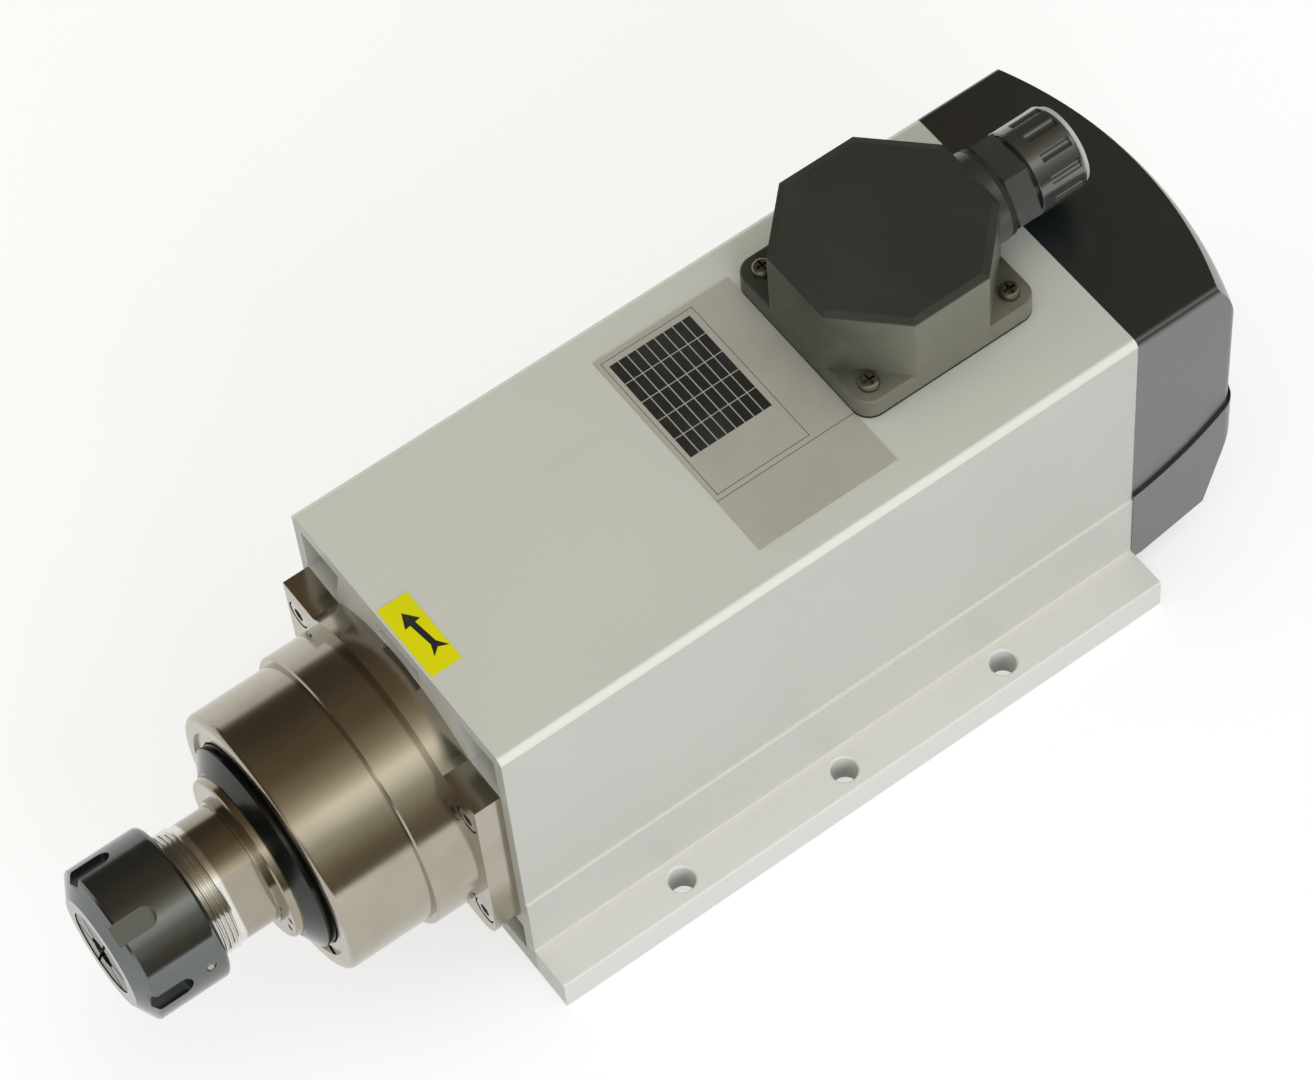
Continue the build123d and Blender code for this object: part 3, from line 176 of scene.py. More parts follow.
class Graph:
    """The node tree of one material or world, with one method that adds any node."""

    def __init__(self, tree: bpy.types.NodeTree) -> None:
        """Empties the tree."""
        self.tree = tree
        tree.nodes.clear()

    def node(self, kind: str, settings: dict[str, object] | None = None,
             inputs: dict[object, object] | None = None, output: object = 0) -> Value:
        """Adds a node.

        Args:
            kind: the node's type.
            settings: its properties, set before the inputs; stops is a colour ramp's list.
            inputs: values or links of its sockets, by index or name.
            output: the index or name of the output to return.

        Returns:
            The chosen output.
        """
        made = self.tree.nodes.new(kind)
        for name, value in (settings or {}).items():
            if name == "stops":
                self._set_stops(made.color_ramp, value)
            else:
                setattr(made, name, value)
        for name, value in (inputs or {}).items():
            self._feed(made.inputs[name], value)
        return Value(self, made.outputs[output] if made.outputs else None)

    def _set_stops(self, ramp: bpy.types.ColorRamp, stops: list[tuple[float, Colour]]) -> None:
        """Sets a colour ramp's stops, given as positions and colours."""
        while len(ramp.elements) < len(stops):
            ramp.elements.new(0.5)
        for element, (place, colour) in zip(ramp.elements, stops):
            element.position = place
            element.color = (*colour, 1.0)

    def _feed(self, socket: bpy.types.NodeSocket, value: object) -> None:
        """Links a Value to the socket, or sets its number, vector or colour."""
        if isinstance(value, Value):
            self.tree.links.new(value.socket, socket)
        elif socket.type == "RGBA" and not isinstance(value, (int, float)):
            socket.default_value = (*value[:3], 1.0)
        else:
            socket.default_value = value

    def place(self) -> Value:
        """The point in the row frame."""
        return self.node("ShaderNodeTexCoord", output="Object")

    def split(self, vector: Value) -> list[Value]:
        """The three parts of a vector."""
        parts = self.node("ShaderNodeSeparateXYZ", inputs={0: vector})
        return [Value(self, parts.socket.node.outputs[i]) for i in range(3)]

    def ray(self, kind: str) -> Value:
        """1 for rays of the kind, such as Is Camera Ray, and 0 for the others."""
        return self.node("ShaderNodeLightPath", output=kind)

    def noise(self, vector: Value, scale: float, detail: Detail = Detail.PLAIN,
              roughness: float = 0.55) -> Value:
        """Noise between about 0.3 and 0.7 at a scale per metre."""
        return self.node("ShaderNodeTexNoise", {}, {
            "Vector": vector, "Scale": scale, "Detail": detail.value, "Roughness": roughness})

    def streaks(self, vector: Value, scale: Triple, detail: Detail) -> Value:
        """Noise with a scale of its own along each axis."""
        stretched = self.node("ShaderNodeVectorMath", {"operation": "MULTIPLY"},
                              {0: vector, 1: scale})
        return self.noise(stretched, 1.0, detail)

    def mix(self, share: object, first: object, second: object) -> Value:
        """Mixes two colours."""
        return self.node("ShaderNodeMix", {"data_type": "RGBA"},
                         {"Factor": share, 6: first, 7: second}, output=2)

    def bump(self, height: Value, strength: float, distance: float) -> Value:
        """A normal from a height."""
        return self.node("ShaderNodeBump", {}, {"Height": height, "Strength": strength,
                                                "Distance": distance})

    def surface(self, inputs: dict[object, object]) -> None:
        """Ends the tree in a Principled shader."""
        shader = self.node("ShaderNodeBsdfPrincipled", {}, inputs)
        self.node("ShaderNodeOutputMaterial", {}, {"Surface": shader})


# Finishes


@dataclass(frozen=True)
class Finish:
    """A procedural finish. Each kind fills in the graph of its own material."""

    name: str

    def material(self) -> bpy.types.Material:
        """Makes the material once, then returns the same one."""
        label = f"{self.name}_finish"
        made = bpy.data.materials.get(label)
        if made is None:
            made = bpy.data.materials.new(label)
            made.use_nodes = True
            self.paint(Graph(made.node_tree))
        return made

    def paint(self, graph: Graph) -> None:
        """Fills in the graph."""
        raise NotImplementedError


@dataclass(frozen=True)
class PowderCoat(Finish):
    """Off-white coat of the extrusion: orange peel, a little dirt, painted highlights along the
    edges and painted light on the base.
    """

    colour: Colour = (0.60, 0.60, 0.545)
    # colour of the painted highlights along the edges
    painted_highlight_colour: Colour = (0.80, 0.79, 0.72)
    # colour of the painted light on the base flange
    painted_base_light_colour: Colour = (0.78, 0.775, 0.74)
    roof: float = 0.1225
    roof_round: float = 0.0025
    crest_fade: float = 0.001
    step_height: float = 0.040
    step_line: float = 0.0007
    base_top: float = 0.012
    foot_line: float = 0.0014
    half_width: float = 0.05175
    side_band: Band = (0.004, 0.002)
    painted_base_light_band: Band = (0.0004, 0.0012)
    base_half_width: float = 0.067
    corner_line: float = 0.0011
    cloud_scale: float = 9.0
    cloud_band: Band = (0.35, 0.65)
    cloud_share: float = 0.5
    cloud_shade: float = 0.93
    dirt_scale: Triple = (60.0, 6.0, 60.0)
    dirt_band: Band = (0.62, 0.8)
    dirt_share: float = 0.25
    dirt_colour: Colour = (0.47, 0.46, 0.40)
    peel_scale: float = 900.0
    peel_depth: float = 0.10
    peel_height: float = 0.0004
    roughness: float = 0.36
    roughness_rise: float = 0.12
    gloss: float = 0.4

    def paint(self, graph: Graph) -> None:
        """Paints the coat, with painted light on the base and painted highlights on roof, step
        and base edges.
        """
        place = graph.place()
        x, _, z = graph.split(place)
        across = x.absolute()
        cloud = graph.noise(place, self.cloud_scale, Detail.SMOOTH)
        peel = graph.noise(place, self.peel_scale, Detail.SMOOTH)
        dirt = graph.streaks(place, self.dirt_scale, Detail.ROUGH)
        step = z.near(self.step_height, self.step_line)
        side = (across - self.half_width).absolute().ramp(*self.side_band)
        corner = across.near(self.base_half_width, self.corner_line)
        foot = z.near(self.base_top, self.foot_line)
        crest = (across - self.half_width + self.roof_round).ramp(0.0, self.crest_fade)
        crest = crest * (z - self.roof + self.roof_round).ramp(0.0, self.crest_fade)
        # painted highlights: pale lines along the roof fillet, the side step and the base's upper
        # edges and corners
        painted_highlights = (step * side).highest(corner * foot).highest(foot * side).highest(crest)
        # painted light: the base flange beyond the side walls is painted paler
        painted_base_light = (across - self.half_width).ramp(*self.painted_base_light_band)
        tone = graph.mix(cloud.ramp(*self.cloud_band) * self.cloud_share, self.colour,
                         scaled(self.colour, self.cloud_shade))
        tone = graph.mix(dirt.ramp(*self.dirt_band) * self.dirt_share, tone, self.dirt_colour)
        tone = graph.mix(painted_base_light, tone, self.painted_base_light_colour)
        tone = graph.mix(painted_highlights, tone, self.painted_highlight_colour)
        graph.surface({
            "Base Color": tone,
            "Roughness": self.roughness + self.roughness_rise * cloud,
            "Specular IOR Level": self.gloss,
            "Normal": graph.bump(peel, self.peel_depth, self.peel_height),
        })


@dataclass(frozen=True)
class Metal(Finish):
    """Machined or plated metal with fine lines, round the spindle axis where it is turned."""

    colour: Colour = (0.66, 0.62, 0.54)
    tint: Colour = (0.50, 0.45, 0.37)
    stains: float = 0.3
    stain_scale: float = 45.0
    stain_band: Band = (0.4, 0.7)
    smear_scale: Triple = (90.0, 25.0, 90.0)
    smear_band: Band = (0.6, 0.75)
    smear_share: float = 0.6
    smear_light: float = 1.25
    roughness: float = 0.2
    roughness_spread: float = 0.5
    smear_roughness: float = 0.05
    turned: bool = True
    lines: float = 2500.0
    line_run: float = 2.0
    brushed_scale: Triple = (200.0, 200.0, 2500.0)
    line_depth: float = 0.08
    line_height: float = 0.0002

    def worn(self, graph: Graph, tone: Value, place: Value) -> Value:
        """The tone where use has changed it: nowhere on plain metal."""
        return tone

    def paint(self, graph: Graph) -> None:
        """Paints the metal with lines, soft stains and a varying gloss."""
        place = graph.place()
        cloud = graph.noise(place, self.stain_scale)
        smear = graph.streaks(place, self.smear_scale, Detail.ROUGH)
        turned_scale = (self.line_run, self.lines, self.line_run)
        grooves = graph.streaks(place, turned_scale if self.turned else self.brushed_scale,
                                Detail.SMOOTH)
        tone = graph.mix(cloud.ramp(*self.stain_band) * self.stains, self.colour, self.tint)
        tone = graph.mix(smear.ramp(*self.smear_band) * self.stains * self.smear_share, tone,
                         scaled(self.colour, self.smear_light))
        graph.surface({
            "Base Color": self.worn(graph, tone, place),
            "Metallic": 1.0,
            "Roughness": (cloud.around(self.roughness, self.roughness_spread)
                          + self.smear_roughness * smear),
            "Normal": graph.bump(grooves, self.line_depth, self.line_height),
        })


@dataclass(frozen=True)
class ThreadedSteel(Metal):
    """Ground steel whose thread at the nose is rubbed bright by the nut."""

    rubbed: Colour = (0.72, 0.71, 0.67)
    thread_front: float = -0.2065
    thread_rear: float = -0.1798
    thread_fade: Band = (-0.0005, 0.0005)

    def worn(self, graph: Graph, tone: Value, place: Value) -> Value:
        """The tone, brighter along the thread."""
        _, y, _ = graph.split(place)
        along = (y - self.thread_front).ramp(*self.thread_fade)
        along = along * (self.thread_rear - y).ramp(*self.thread_fade)
        return graph.mix(along, tone, self.rubbed)


@dataclass(frozen=True)
class Blackened(Finish):
    """Black oxide on steel: dark and smooth, rubbed a little paler in patches."""

    colour: Colour = (0.152, 0.164, 0.163)
    rubbed: Colour = (0.23, 0.24, 0.235)
    patch_scale: float = 120.0
    patch_band: Band = (0.55, 0.75)
    patch_share: float = 0.35
    metal: float = 0.95
    roughness: float = 0.13
    roughness_spread: float = 0.4
    line_scale: Triple = (3.0, 1800.0, 3.0)
    line_depth: float = 0.05
    line_height: float = 0.0002

    def bared(self, graph: Graph, tone: Value, place: Value) -> Value:
        """The tone where the steel shows: nowhere on a whole coat."""
        return tone

    def paint(self, graph: Graph) -> None:
        """Paints the oxide with faint rubbed patches and turning lines."""
        place = graph.place()
        patch = graph.noise(place, self.patch_scale, Detail.ROUGH)
        lines = graph.streaks(place, self.line_scale, Detail.SMOOTH)
        tone = graph.mix(patch.ramp(*self.patch_band) * self.patch_share, self.colour,
                         self.rubbed)
        graph.surface({
            "Base Color": self.bared(graph, tone, place),
            "Metallic": self.metal,
            "Roughness": patch.around(self.roughness, self.roughness_spread),
            "Normal": graph.bump(lines, self.line_depth, self.line_height),
        })


@dataclass(frozen=True)
class DrilledOxide(Blackened):
    """Black oxide with a drilled mark whose floor is bare steel."""

    bare: Colour = (0.80, 0.79, 0.75)
    mark: Triple = (0.0236, -0.1947, 0.0638)
    mark_band: Band = (0.0019, 0.00152)

    def bared(self, graph: Graph, tone: Value, place: Value) -> Value:
        """The tone, bright at the floor of the mark."""
        reach = graph.node("ShaderNodeVectorMath", {"operation": "DISTANCE"},
                           {0: place, 1: self.mark}, output="Value")
        return graph.mix(reach.ramp(*self.mark_band), tone, self.bare)


@dataclass(frozen=True)
class Moulding(Finish):
    """Moulded plastic with a fine grain."""

    colour: Colour = (0.02, 0.02, 0.019)
    pale: Colour = (0.05, 0.05, 0.046)
    cloud_scale: float = 30.0
    cloud_band: Band = (0.35, 0.7)
    cloud_share: float = 0.5
    dust_scale: float = 260.0
    dust_roughness: float = 0.7
    dust_band: Band = (0.66, 0.8)
    dust_share: float = 0.3
    dust_light: float = 2.2
    dust_lift: float = 0.02
    sheen: Sheen = Sheen.FINE
    sheen_spread: float = 0.3
    index: float = 1.5
    skin: float = 0.0
    grain: float = 1600.0
    grain_depth: float = 0.25
    grain_height: float = 0.0002

    def worn(self, graph: Graph, tone: Value, place: Value) -> Value:
        """The tone where use has changed it: nowhere on plain plastic."""
        return tone

    def paint(self, graph: Graph) -> None:
        """Paints the plastic with grain, a little dust and an uneven gloss."""
        place = graph.place()
        grain = graph.noise(place, self.grain)
        cloud = graph.noise(place, self.cloud_scale)
        dust = graph.noise(place, self.dust_scale, Detail.DUSTY, self.dust_roughness)
        tone = graph.mix(cloud.ramp(*self.cloud_band) * self.cloud_share, self.colour,
                         self.pale)
        tone = graph.mix(dust.ramp(*self.dust_band) * self.dust_share,
                         self.worn(graph, tone, place),
                         scaled(self.pale, self.dust_light, self.dust_lift))
        graph.surface({
            "Base Color": tone,
            "Roughness": cloud.around(self.sheen.value, self.sheen_spread),
            "IOR": self.index,
            "Coat Weight": self.skin,
            "Coat Roughness": self.sheen.value,
            "Normal": graph.bump(grain, self.grain_depth, self.grain_height),
        })


@dataclass(frozen=True)
class ScuffAndSheenMoulding(Moulding):
    """Moulded plastic whose walls and ledges are painted paler than the lid: painted sheen,
    strongest on the side at +X, with a few scuffed patches.
    """

    scuff_and_sheen_colour: Colour = (0.20, 0.196, 0.148)
    lid_bottom: float = 0.1548
    lid_edge: float = 0.0006
    sheen_side_band: Band = (0.0, 0.034)
    sheen_side_share: float = 0.90
    patch_scale: float = 140.0
    patch_band: Band = (0.3, 0.7)
    patch_share: float = 0.10

    def worn(self, graph: Graph, tone: Value, place: Value) -> Value:
        """The tone below the lid, paler as painted sheen that grows towards +X, and a little
        patchy as scuffing.
        """
        x, _, z = graph.split(place)
        patch = graph.noise(place, self.patch_scale, Detail.ROUGH)
        # painted sheen: the walls below the lid are painted paler, most towards +X, with a few
        # random scuffed patches
        below = 1.0 - (z - self.lid_bottom).ramp(0.0, self.lid_edge)
        share = (self.patch_share * patch.ramp(*self.patch_band)
                 + self.sheen_side_share * x.ramp(*self.sheen_side_band))
        return graph.mix(below * share, tone, self.scuff_and_sheen_colour)


@dataclass(frozen=True)
class Laminated(Finish):
    """Stacked electrical sheet: fine dark joints along the spindle."""

    colour: Colour = (0.34, 0.34, 0.35)
    pitch: float = 0.001
    joint_colour: Colour = (0.12, 0.12, 0.125)
    joint_share: float = 0.6
    joint_depth: float = 0.4
    joint_height: float = 0.0001
    metal: float = 0.9
    cloud_scale: float = 60.0
    roughness: float = 0.35
    roughness_rise: float = 0.25

    def paint(self, graph: Graph) -> None:
        """Paints the joints between the sheets."""
        place = graph.place()
        _, y, _ = graph.split(place)
        joints = (y * (math.tau / self.pitch)).wave()
        cloud = graph.noise(place, self.cloud_scale)
        graph.surface({
            "Base Color": graph.mix(joints * self.joint_share, self.colour, self.joint_colour),
            "Metallic": self.metal,
            "Roughness": self.roughness + self.roughness_rise * cloud,
            "Normal": graph.bump(joints, self.joint_depth, self.joint_height),
        })


@dataclass(frozen=True)
class Wound(Finish):
    """Enamelled copper wire laid side by side in loops."""

    colour: Colour = (0.50, 0.20, 0.07)
    gap_shade: float = 0.35
    strand_phase: float = 5200.0
    strand_depth: float = 0.6
    strand_height: float = 0.0004
    bend_scale: float = 60.0
    bend_phase: float = 14.0
    metal: float = 0.7
    roughness: float = 0.3
    roughness_rise: float = 0.2

    def paint(self, graph: Graph) -> None:
        """Paints strands that run round the winding, a little bent."""
        place = graph.place()
        bent = graph.noise(place, self.bend_scale, Detail.SMOOTH)
        _, y, _ = graph.split(place)
        strands = (y * self.strand_phase + bent * self.bend_phase).wave()
        graph.surface({
            "Base Color": graph.mix(strands, self.colour, scaled(self.colour, self.gap_shade)),
            "Metallic": self.metal,
            "Roughness": self.roughness + self.roughness_rise * bent,
            "Normal": graph.bump(strands, self.strand_depth, self.strand_height),
        })


@dataclass(frozen=True)
class PrintedFilm(Finish):
    """Film or foil label with a soft gloss and slight wear."""

    colour: Colour = (0.48, 0.48, 0.47)
    worn: Colour = (0.40, 0.40, 0.39)
    wear_scale: float = 70.0
    wear_band: Band = (0.4, 0.7)
    wear_share: float = 0.5
    roughness: float = 0.42
    roughness_spread: float = 0.4
    gloss: float = 0.3
    fibre_scale: float = 1500.0
    fibre_depth: float = 0.05
    fibre_height: float = 0.0001

    def paint(self, graph: Graph) -> None:
        """Paints the film, a little uneven."""
        place = graph.place()
        wear = graph.noise(place, self.wear_scale, Detail.ROUGH)
        fibre = graph.noise(place, self.fibre_scale, Detail.SMOOTH)
        graph.surface({
            "Base Color": graph.mix(wear.ramp(*self.wear_band) * self.wear_share, self.colour,
                                    self.worn),
            "Roughness": wear.around(self.roughness, self.roughness_spread),
            "Specular IOR Level": self.gloss,
            "Normal": graph.bump(fibre, self.fibre_depth, self.fibre_height),
        })


COAT = PowderCoat("white_coat")
NICKEL = Metal("nickel_plate", colour=(0.42, 0.385, 0.315), tint=(0.35, 0.315, 0.245),
               roughness=0.14, line_depth=0.03, stains=0.5)
GROUND = ThreadedSteel("ground_steel", colour=(0.36, 0.325, 0.26), tint=(0.30, 0.265, 0.20),
                       roughness=0.13, line_depth=0.05, stains=0.4)
COLLET_STEEL = Metal("collet_steel", colour=(0.24, 0.22, 0.18), tint=(0.15, 0.135, 0.11),
                     roughness=0.3, line_depth=0.05, stains=0.8)
BRIGHT = Metal("bearing_steel", colour=(0.78, 0.78, 0.78), tint=(0.65, 0.65, 0.65),
               roughness=0.1, line_depth=0.03, stains=0.1)
SCREW = Metal("screw_zinc", colour=(0.60, 0.60, 0.57), tint=(0.42, 0.42, 0.39),
              roughness=0.28, line_depth=0.06, turned=False)
DULL_SCREW = Metal("dull_screw", colour=(0.26, 0.26, 0.22), tint=(0.17, 0.17, 0.14),
                   roughness=0.36, line_depth=0.06, stains=0.7, turned=False)
CAST = Metal("cast_aluminium", colour=(0.62, 0.62, 0.62), tint=(0.45, 0.45, 0.45),
             roughness=0.45, lines=600.0, line_depth=0.2, stains=0.6)
OXIDE = Blackened("black_oxide")
NUT_OXIDE = DrilledOxide("nut_oxide")
RING_BLACK = Blackened("ring_black", colour=(0.045, 0.044, 0.043), rubbed=(0.09, 0.088, 0.084),
                       roughness=0.16, metal=0.9)
COVER = Moulding("cover_plastic", colour=(0.003, 0.008, 0.010), pale=(0.010, 0.016, 0.018),
                 sheen=Sheen.SATIN, index=1.9, skin=0.7)
BOX = ScuffAndSheenMoulding("box_plastic", colour=(0.029, 0.031, 0.026), pale=(0.042, 0.044, 0.037),
                      sheen=Sheen.SATIN, index=1.5, skin=0.12, grain_depth=0.12)
GLAND = Moulding("gland_plastic", colour=(0.023, 0.027, 0.025), pale=(0.040, 0.045, 0.042),
                 sheen=Sheen.GLOSS, index=1.9, skin=0.8, grain=900.0, grain_depth=0.06)
RUBBER = Moulding("seal_rubber", colour=(0.016, 0.016, 0.016), pale=(0.03, 0.03, 0.03),
                  sheen=Sheen.MATTE)
PALE = Moulding("pale_plastic", colour=(0.50, 0.50, 0.47), pale=(0.60, 0.60, 0.57),
                sheen=Sheen.MATTE)
CAGE = Moulding("cage_plastic", colour=(0.38, 0.27, 0.13), pale=(0.45, 0.33, 0.18),
                sheen=Sheen.MATTE)
LEAD = Moulding("lead_insulation", colour=(0.45, 0.03, 0.02), pale=(0.55, 0.05, 0.04),
                sheen=Sheen.SATIN)
SHEETS = Laminated("lamination_steel")
COPPER = Wound("copper_winding")
FOIL = PrintedFilm("plate_foil", colour=(0.42, 0.412, 0.355), worn=(0.375, 0.367, 0.31))
YELLOW = PrintedFilm("label_yellow", colour=(0.735, 0.705, 0.001), worn=(0.68, 0.65, 0.002),
                     roughness=0.5, gloss=0.12)
INK = PrintedFilm("print_black", colour=(0.022, 0.022, 0.021), worn=(0.04, 0.04, 0.038),
                  roughness=0.4)
RULE = PrintedFilm("print_line", colour=(0.12, 0.12, 0.115), worn=(0.18, 0.18, 0.17),
                   roughness=0.4)


# Mesh building


def add_box(mesh: bmesh.types.BMesh, low: Vector, high: Vector) -> None:
    """Adds a closed box between two corners."""
    made = bmesh.ops.create_cube(mesh, size=1.0)
    middle, size = (low + high) / 2, high - low
    for vert in made["verts"]:
        vert.co = Vector(vert.co[i] * size[i] + middle[i] for i in range(3))


def to_object(mesh: bmesh.types.BMesh, name: str) -> bpy.types.Object:
    """Turns a bmesh into a linked object at the origin.

    Args:
        mesh: the finished bmesh, which is freed.
        name: the object's name.

    Returns:
        The object.
    """
    bmesh.ops.recalc_face_normals(mesh, faces=mesh.faces)
    data = bpy.data.meshes.new(name)
    mesh.to_mesh(data)
    mesh.free()
    made = bpy.data.objects.new(name, data)
    bpy.context.scene.collection.objects.link(made)
    return made


class GeometryTree:
    """A Geometry Nodes tree with named inputs that ends in realised, dressed geometry."""

    SOCKETS = {int: "NodeSocketInt", float: "NodeSocketFloat", tuple: "NodeSocketVector"}

    def __init__(self, name: str, sizes: dict[str, object]) -> None:
        """Makes the tree's inputs from the sizes' names and types."""
        self.name = name
        self.sizes = sizes
        self.tree = bpy.data.node_groups.new(name, "GeometryNodeTree")
        self.tree.interface.new_socket("Geometry", in_out="OUTPUT",
                                       socket_type="NodeSocketGeometry")
        self.sockets = {}
        for label, value in sizes.items():
            self.sockets[label] = self.tree.interface.new_socket(
                label, in_out="INPUT", socket_type=self.SOCKETS[type(value)])
        self.source = self.tree.nodes.new("NodeGroupInput")

    def size(self, label: str) -> bpy.types.NodeSocket:
        """The tree's own input of that name."""
        return self.source.outputs[label]

    def node(self, kind: str, settings: dict[str, object] | None = None,
             inputs: dict[object, object] | None = None,
             output: object = 0) -> bpy.types.NodeSocket:
        """Adds a node.

        Args:
            kind: the node's type.
            settings: its properties, set first.
            inputs: values or links of its sockets, by index or name.
            output: the index or name of the output to return.

        Returns:
            The chosen output socket.
        """
        made = self.tree.nodes.new(kind)
        for name, value in (settings or {}).items():
            setattr(made, name, value)
        for name, value in (inputs or {}).items():
            if isinstance(value, bpy.types.NodeSocket):
                self.tree.links.new(value, made.inputs[name])
            else:
                made.inputs[name].default_value = value
        return made.outputs[output]

    def maths(self, operation: str, first: object, second: object) -> bpy.types.NodeSocket:
        """Adds a Math node on two values."""
        return self.node("ShaderNodeMath", {"operation": operation}, {0: first, 1: second})

    def bake(self, geometry: bpy.types.NodeSocket, finish: Finish) -> bpy.types.Object:
        """Ends the tree, runs it and keeps the result as a plain mesh.

        Args:
            geometry: the last geometry of the tree.
            finish: the finish of the whole piece.

        Returns:
            The object, without a modifier, at the origin.
        """
        whole = self.node("GeometryNodeRealizeInstances", inputs={0: geometry})
        dressed = self.node("GeometryNodeSetMaterial",
                            inputs={"Geometry": whole, "Material": finish.material()})
        self.tree.links.new(dressed, self.tree.nodes.new("NodeGroupOutput").inputs[0])
        carrier = bpy.data.objects.new(self.name + "_carrier", bpy.data.meshes.new(self.name))
        bpy.context.scene.collection.objects.link(carrier)
        modifier = carrier.modifiers.new(self.name, "NODES")
        modifier.node_group = self.tree
        for label, value in self.sizes.items():
            modifier[self.sockets[label].identifier] = value
        bpy.context.view_layer.update()
        seen = carrier.evaluated_get(bpy.context.evaluated_depsgraph_get())
        made = bpy.data.objects.new(self.name, bpy.data.meshes.new_from_object(seen))
        bpy.context.scene.collection.objects.link(made)
        bpy.data.objects.remove(carrier)
        return made


# Sub-assemblies


@dataclass
class SubAssembly:
    """A group of the frame's nodes, with the pieces that are added to them."""

    frame: dict[str, dict[str, bpy.types.Object]]
    pieces: list[str] = field(default_factory=list)

    def dress(self, finish: Finish, *nodes: str) -> None:
        """Gives the nodes one finish.

        Args:
            finish: the finish they share.
            nodes: names of nodes in the frame.
        """
        for node in nodes:
            shown = self.frame["nodes"][node]
            shown.data.materials.clear()
            shown.data.materials.append(finish.material())
            self.pieces.append(node)

    def fit(self, piece: bpy.types.Object, finish: Finish, slot: str, body: str = "root") -> None:
        """Dresses an added piece and lets it ride on a body.

        Args:
            piece: the new object, in place.
            finish: its finish.
            slot: the record's material slot; not used.
            body: the body that carries it.
        """
        if not piece.data.materials:
            piece.data.materials.append(finish.material())
        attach(piece, body)
        self.pieces.append(piece.name)

    def build(self) -> None:
        """Builds and dresses the sub-assembly."""
        raise NotImplementedError

    def report(self) -> None:
        """Logs each piece."""
        for piece in self.pieces:
            LOG.info("%s: %s", type(self).__name__, piece)


@dataclass
class Body(SubAssembly):
    """The extruded housing with its end bell and inner screws."""

    def build(self) -> None:
        """Dresses the housing and what closes its rear."""
        self.dress(COAT, "housing")
        self.dress(CAST, "rear_end_bell")
        self.dress(SCREW, "rear_end_bell_screws")
        self.dress(GROUND, "preload_spring")


@dataclass
class Nose(SubAssembly):
    """The plated flange, sleeve and retaining ring with the bearings that they hold."""

    def build(self) -> None:
        """Dresses the plated pieces, the bearings and their screws."""
        self.dress(NICKEL, "front_flange", "nose_sleeve", "bearing_retaining_ring")
        self.dress(SCREW, "front_flange_screws", "nose_sleeve_screws")
        for bearing in ("front_bearing_a", "front_bearing_b", "rear_bearing"):
            self.dress(BRIGHT, f"{bearing}_outer_ring", f"{bearing}_inner_ring",
                       f"{bearing}_balls")
            self.dress(CAGE, f"{bearing}_cage")
        self.dress(GROUND, "front_outer_spacer", "front_inner_spacer")
        self.dress(OXIDE, "front_bearing_locknut")


@dataclass
class Rotor(SubAssembly):
    """The shaft with its rings, rotor core and fan."""

    def build(self) -> None:
        """Dresses everything that turns with the shaft."""
        self.dress(GROUND, "spindle_shaft", "balance_ring", "fan_spacer")
        self.dress(RING_BLACK, "labyrinth_ring")
        self.dress(OXIDE, "fan_retaining_ring")
        self.dress(SHEETS, "rotor_core")
        self.dress(CAST, "rotor_end_rings")
        self.dress(COVER, "cooling_fan")


@dataclass
class ColletChuck(SubAssembly):
    """The collet, its nut and the ring that draws it out."""

    def build(self) -> None:
        """Dresses the chuck."""
        self.dress(COLLET_STEEL, "collet", "collet_nut_ring")
        self.dress(NUT_OXIDE, "collet_nut")


@dataclass
class Stator(SubAssembly):
    """The laminated core and its winding."""

    def build(self) -> None:
        """Dresses the core, the winding and its leads."""
        self.dress(SHEETS, "stator_core")
        self.dress(COPPER, "stator_windings")
        self.dress(LEAD, "lead_wires")


@dataclass
class FanCover(SubAssembly):
    """The moulded cover over the fan."""

    def build(self) -> None:
        """Dresses the cover and its screws."""
        self.dress(COVER, "fan_cover")
        self.dress(SCREW, "fan_cover_screws")


@dataclass
class TerminalBox(SubAssembly):
    """The box on the roof with what it holds."""

    def build(self) -> None:
        """Dresses the box, its gasket and terminals."""
        self.dress(BOX, "terminal_box")
        self.dress(RUBBER, "terminal_box_gasket")
        self.dress(DULL_SCREW, "terminal_box_screws")
        self.dress(SCREW, "earth_screw", "terminal_studs", "terminal_nuts")
        self.dress(CAGE, "terminal_block")


@dataclass
class CableGland(SubAssembly):
    """The gland that the supply cable enters by."""

    def build(self) -> None:
        """Dresses the gland."""
        self.dress(GLAND, "gland_body", "gland_dome_nut")
        self.dress(RUBBER, "gland_washers", "gland_seal")
        self.dress(PALE, "gland_thrust_ring")


